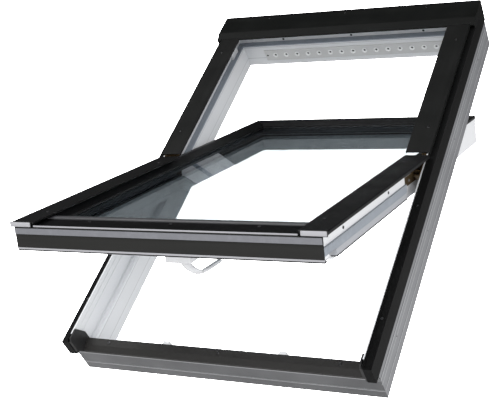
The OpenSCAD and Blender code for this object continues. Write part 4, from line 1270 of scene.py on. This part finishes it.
@dataclass
class Studio:
    """White cove, soft lights and the camera."""

    backdrop: float = 5.6
    fill: float = 1.20
    mirror_low: float = 0.30
    mirror_high: float = 0.03
    horizon: tuple[float, float] = (-0.02, 0.20)
    floor_drop: float = 0.55
    floor_half: float = 14.0
    eye: Vector = field(default_factory=lambda: Vector((1.1586, -2.1171, 0.4827)))
    forward: Vector = field(default_factory=lambda: Vector((-0.4564, 0.8890, -0.0364)))
    rightward: Vector = field(default_factory=lambda: Vector((0.8897, 0.4566, -0.0030)))
    lens: float = 76.5
    sensor: float = 36.0
    clip: tuple[float, float] = (0.05, 60.0)

    def build(self) -> None:
        """Makes the world, floor, lights and camera."""
        self._world()
        self._floor()
        for box in (
            SoftBox("key", Vector((-1.6, -1.8, 3.0)), (2.2, 1.6), 60.0),
            SoftBox("side", Vector((3.4, -0.6, 0.2)), (1.4, 2.0), 34.0),
            SoftBox("front", Vector((0.2, -3.6, 1.0)), (2.4, 1.4), 20.0),
            SoftBox("low_front", Vector((0.5, -1.9, -0.1)), (1.6, 0.8), 5.0,
                    Vector((0.0, 0.75, 0.78))),
        ):
            box.build()
        self._camera()

    def _world(self) -> None:
        """A world that is white to the eye and softer as a light."""
        world = bpy.data.worlds.new("cove")
        bpy.context.scene.world = world
        graph = Graph(world)
        _, _, up = graph.split(graph.flow("ShaderNodeTexCoord", output="Generated"))
        low, top = self.horizon
        mirrored = graph.flow("ShaderNodeMapRange", {"interpolation_type": "SMOOTHSTEP"},
                              {"Value": up, "From Min": low, "From Max": top,
                               "To Min": self.mirror_low, "To Max": self.mirror_high})
        glossy = graph.flow("ShaderNodeLightPath", output="Is Glossy Ray")
        lit = graph.flow("ShaderNodeMix", {}, {0: glossy, 2: self.fill, 3: mirrored})
        camera = graph.flow("ShaderNodeLightPath", output="Is Camera Ray")
        seen = graph.flow("ShaderNodeMix", {}, {0: camera, 2: lit, 3: self.backdrop})
        background = graph.tree.nodes["Background"]
        graph.feed(background.inputs["Color"], (1.0, 1.0, 1.0))
        graph.feed(background.inputs["Strength"], seen)

    def _floor(self) -> None:
        """A plain pale floor that stays white to the eye."""
        mesh = bpy.data.meshes.new("floor")
        shape = bmesh.new()
        place = Matrix.Translation((0.0, 0.0, CAD_BOX[0].z - self.floor_drop))
        bmesh.ops.create_grid(shape, x_segments=2, y_segments=2, size=self.floor_half,
                              matrix=place)
        shape.to_mesh(mesh)
        shape.free()
        floor = bpy.data.objects.new("floor", mesh)
        bpy.context.scene.collection.objects.link(floor)
        graph = Graph(bpy.data.materials.new("pale_floor"))
        graph.surface(Base_Color=(0.8, 0.8, 0.8), Roughness=0.9, Emission_Color=(1.0, 1.0, 1.0),
                      Emission_Strength=self.backdrop)
        seen = graph.flow("ShaderNodeLightPath", output="Is Camera Ray")
        plain = graph.node("ShaderNodeBsdfDiffuse", {}, {"Color": (0.6, 0.6, 0.6)})
        graph.end_with(seen, plain, graph.shader)
        mesh.materials.append(graph.owner)

    def _camera(self) -> None:
        """The camera, level and without shift."""
        data = bpy.data.cameras.new("camera")
        data.lens = self.lens
        data.sensor_width = self.sensor
        data.clip_start, data.clip_end = self.clip
        camera = bpy.data.objects.new("camera", data)
        back = -self.forward.normalized()
        right = (self.rightward - self.rightward.dot(back) * back).normalized()
        turn = Matrix((right, back.cross(right), back)).transposed().to_4x4()
        camera.matrix_world = Matrix.Translation(self.eye) @ turn
        bpy.context.scene.collection.objects.link(camera)
        bpy.context.scene.camera = camera


SCREW_SETS = (
    ("cladding_screws", "frame", DARK_SCREW),
    ("frame_screws", "frame", DARK_SCREW),
    ("frame_hinge_screws", "frame", SCREW_STEEL),
    ("sash_screws", "sash", DARK_SCREW),
    ("sash_hinge_screws", "sash", SCREW_STEEL),
)


def main() -> None:
    """Builds everything in order."""
    logging.basicConfig(level=logging.INFO)
    scene = bpy.context.scene
    scene.view_settings.view_transform = "Standard"
    Studio().build()
    dress_nodes()
    for node, body, metal in SCREW_SETS:
        Screws(node, body, metal).build()
    Handle().build()
    for side in Side:
        CoverCap(side).build()
        StripToe(side).build()
    LowBeadCrown().build()
    GrilleCups().build()


if __name__ == "__main__":
    main()
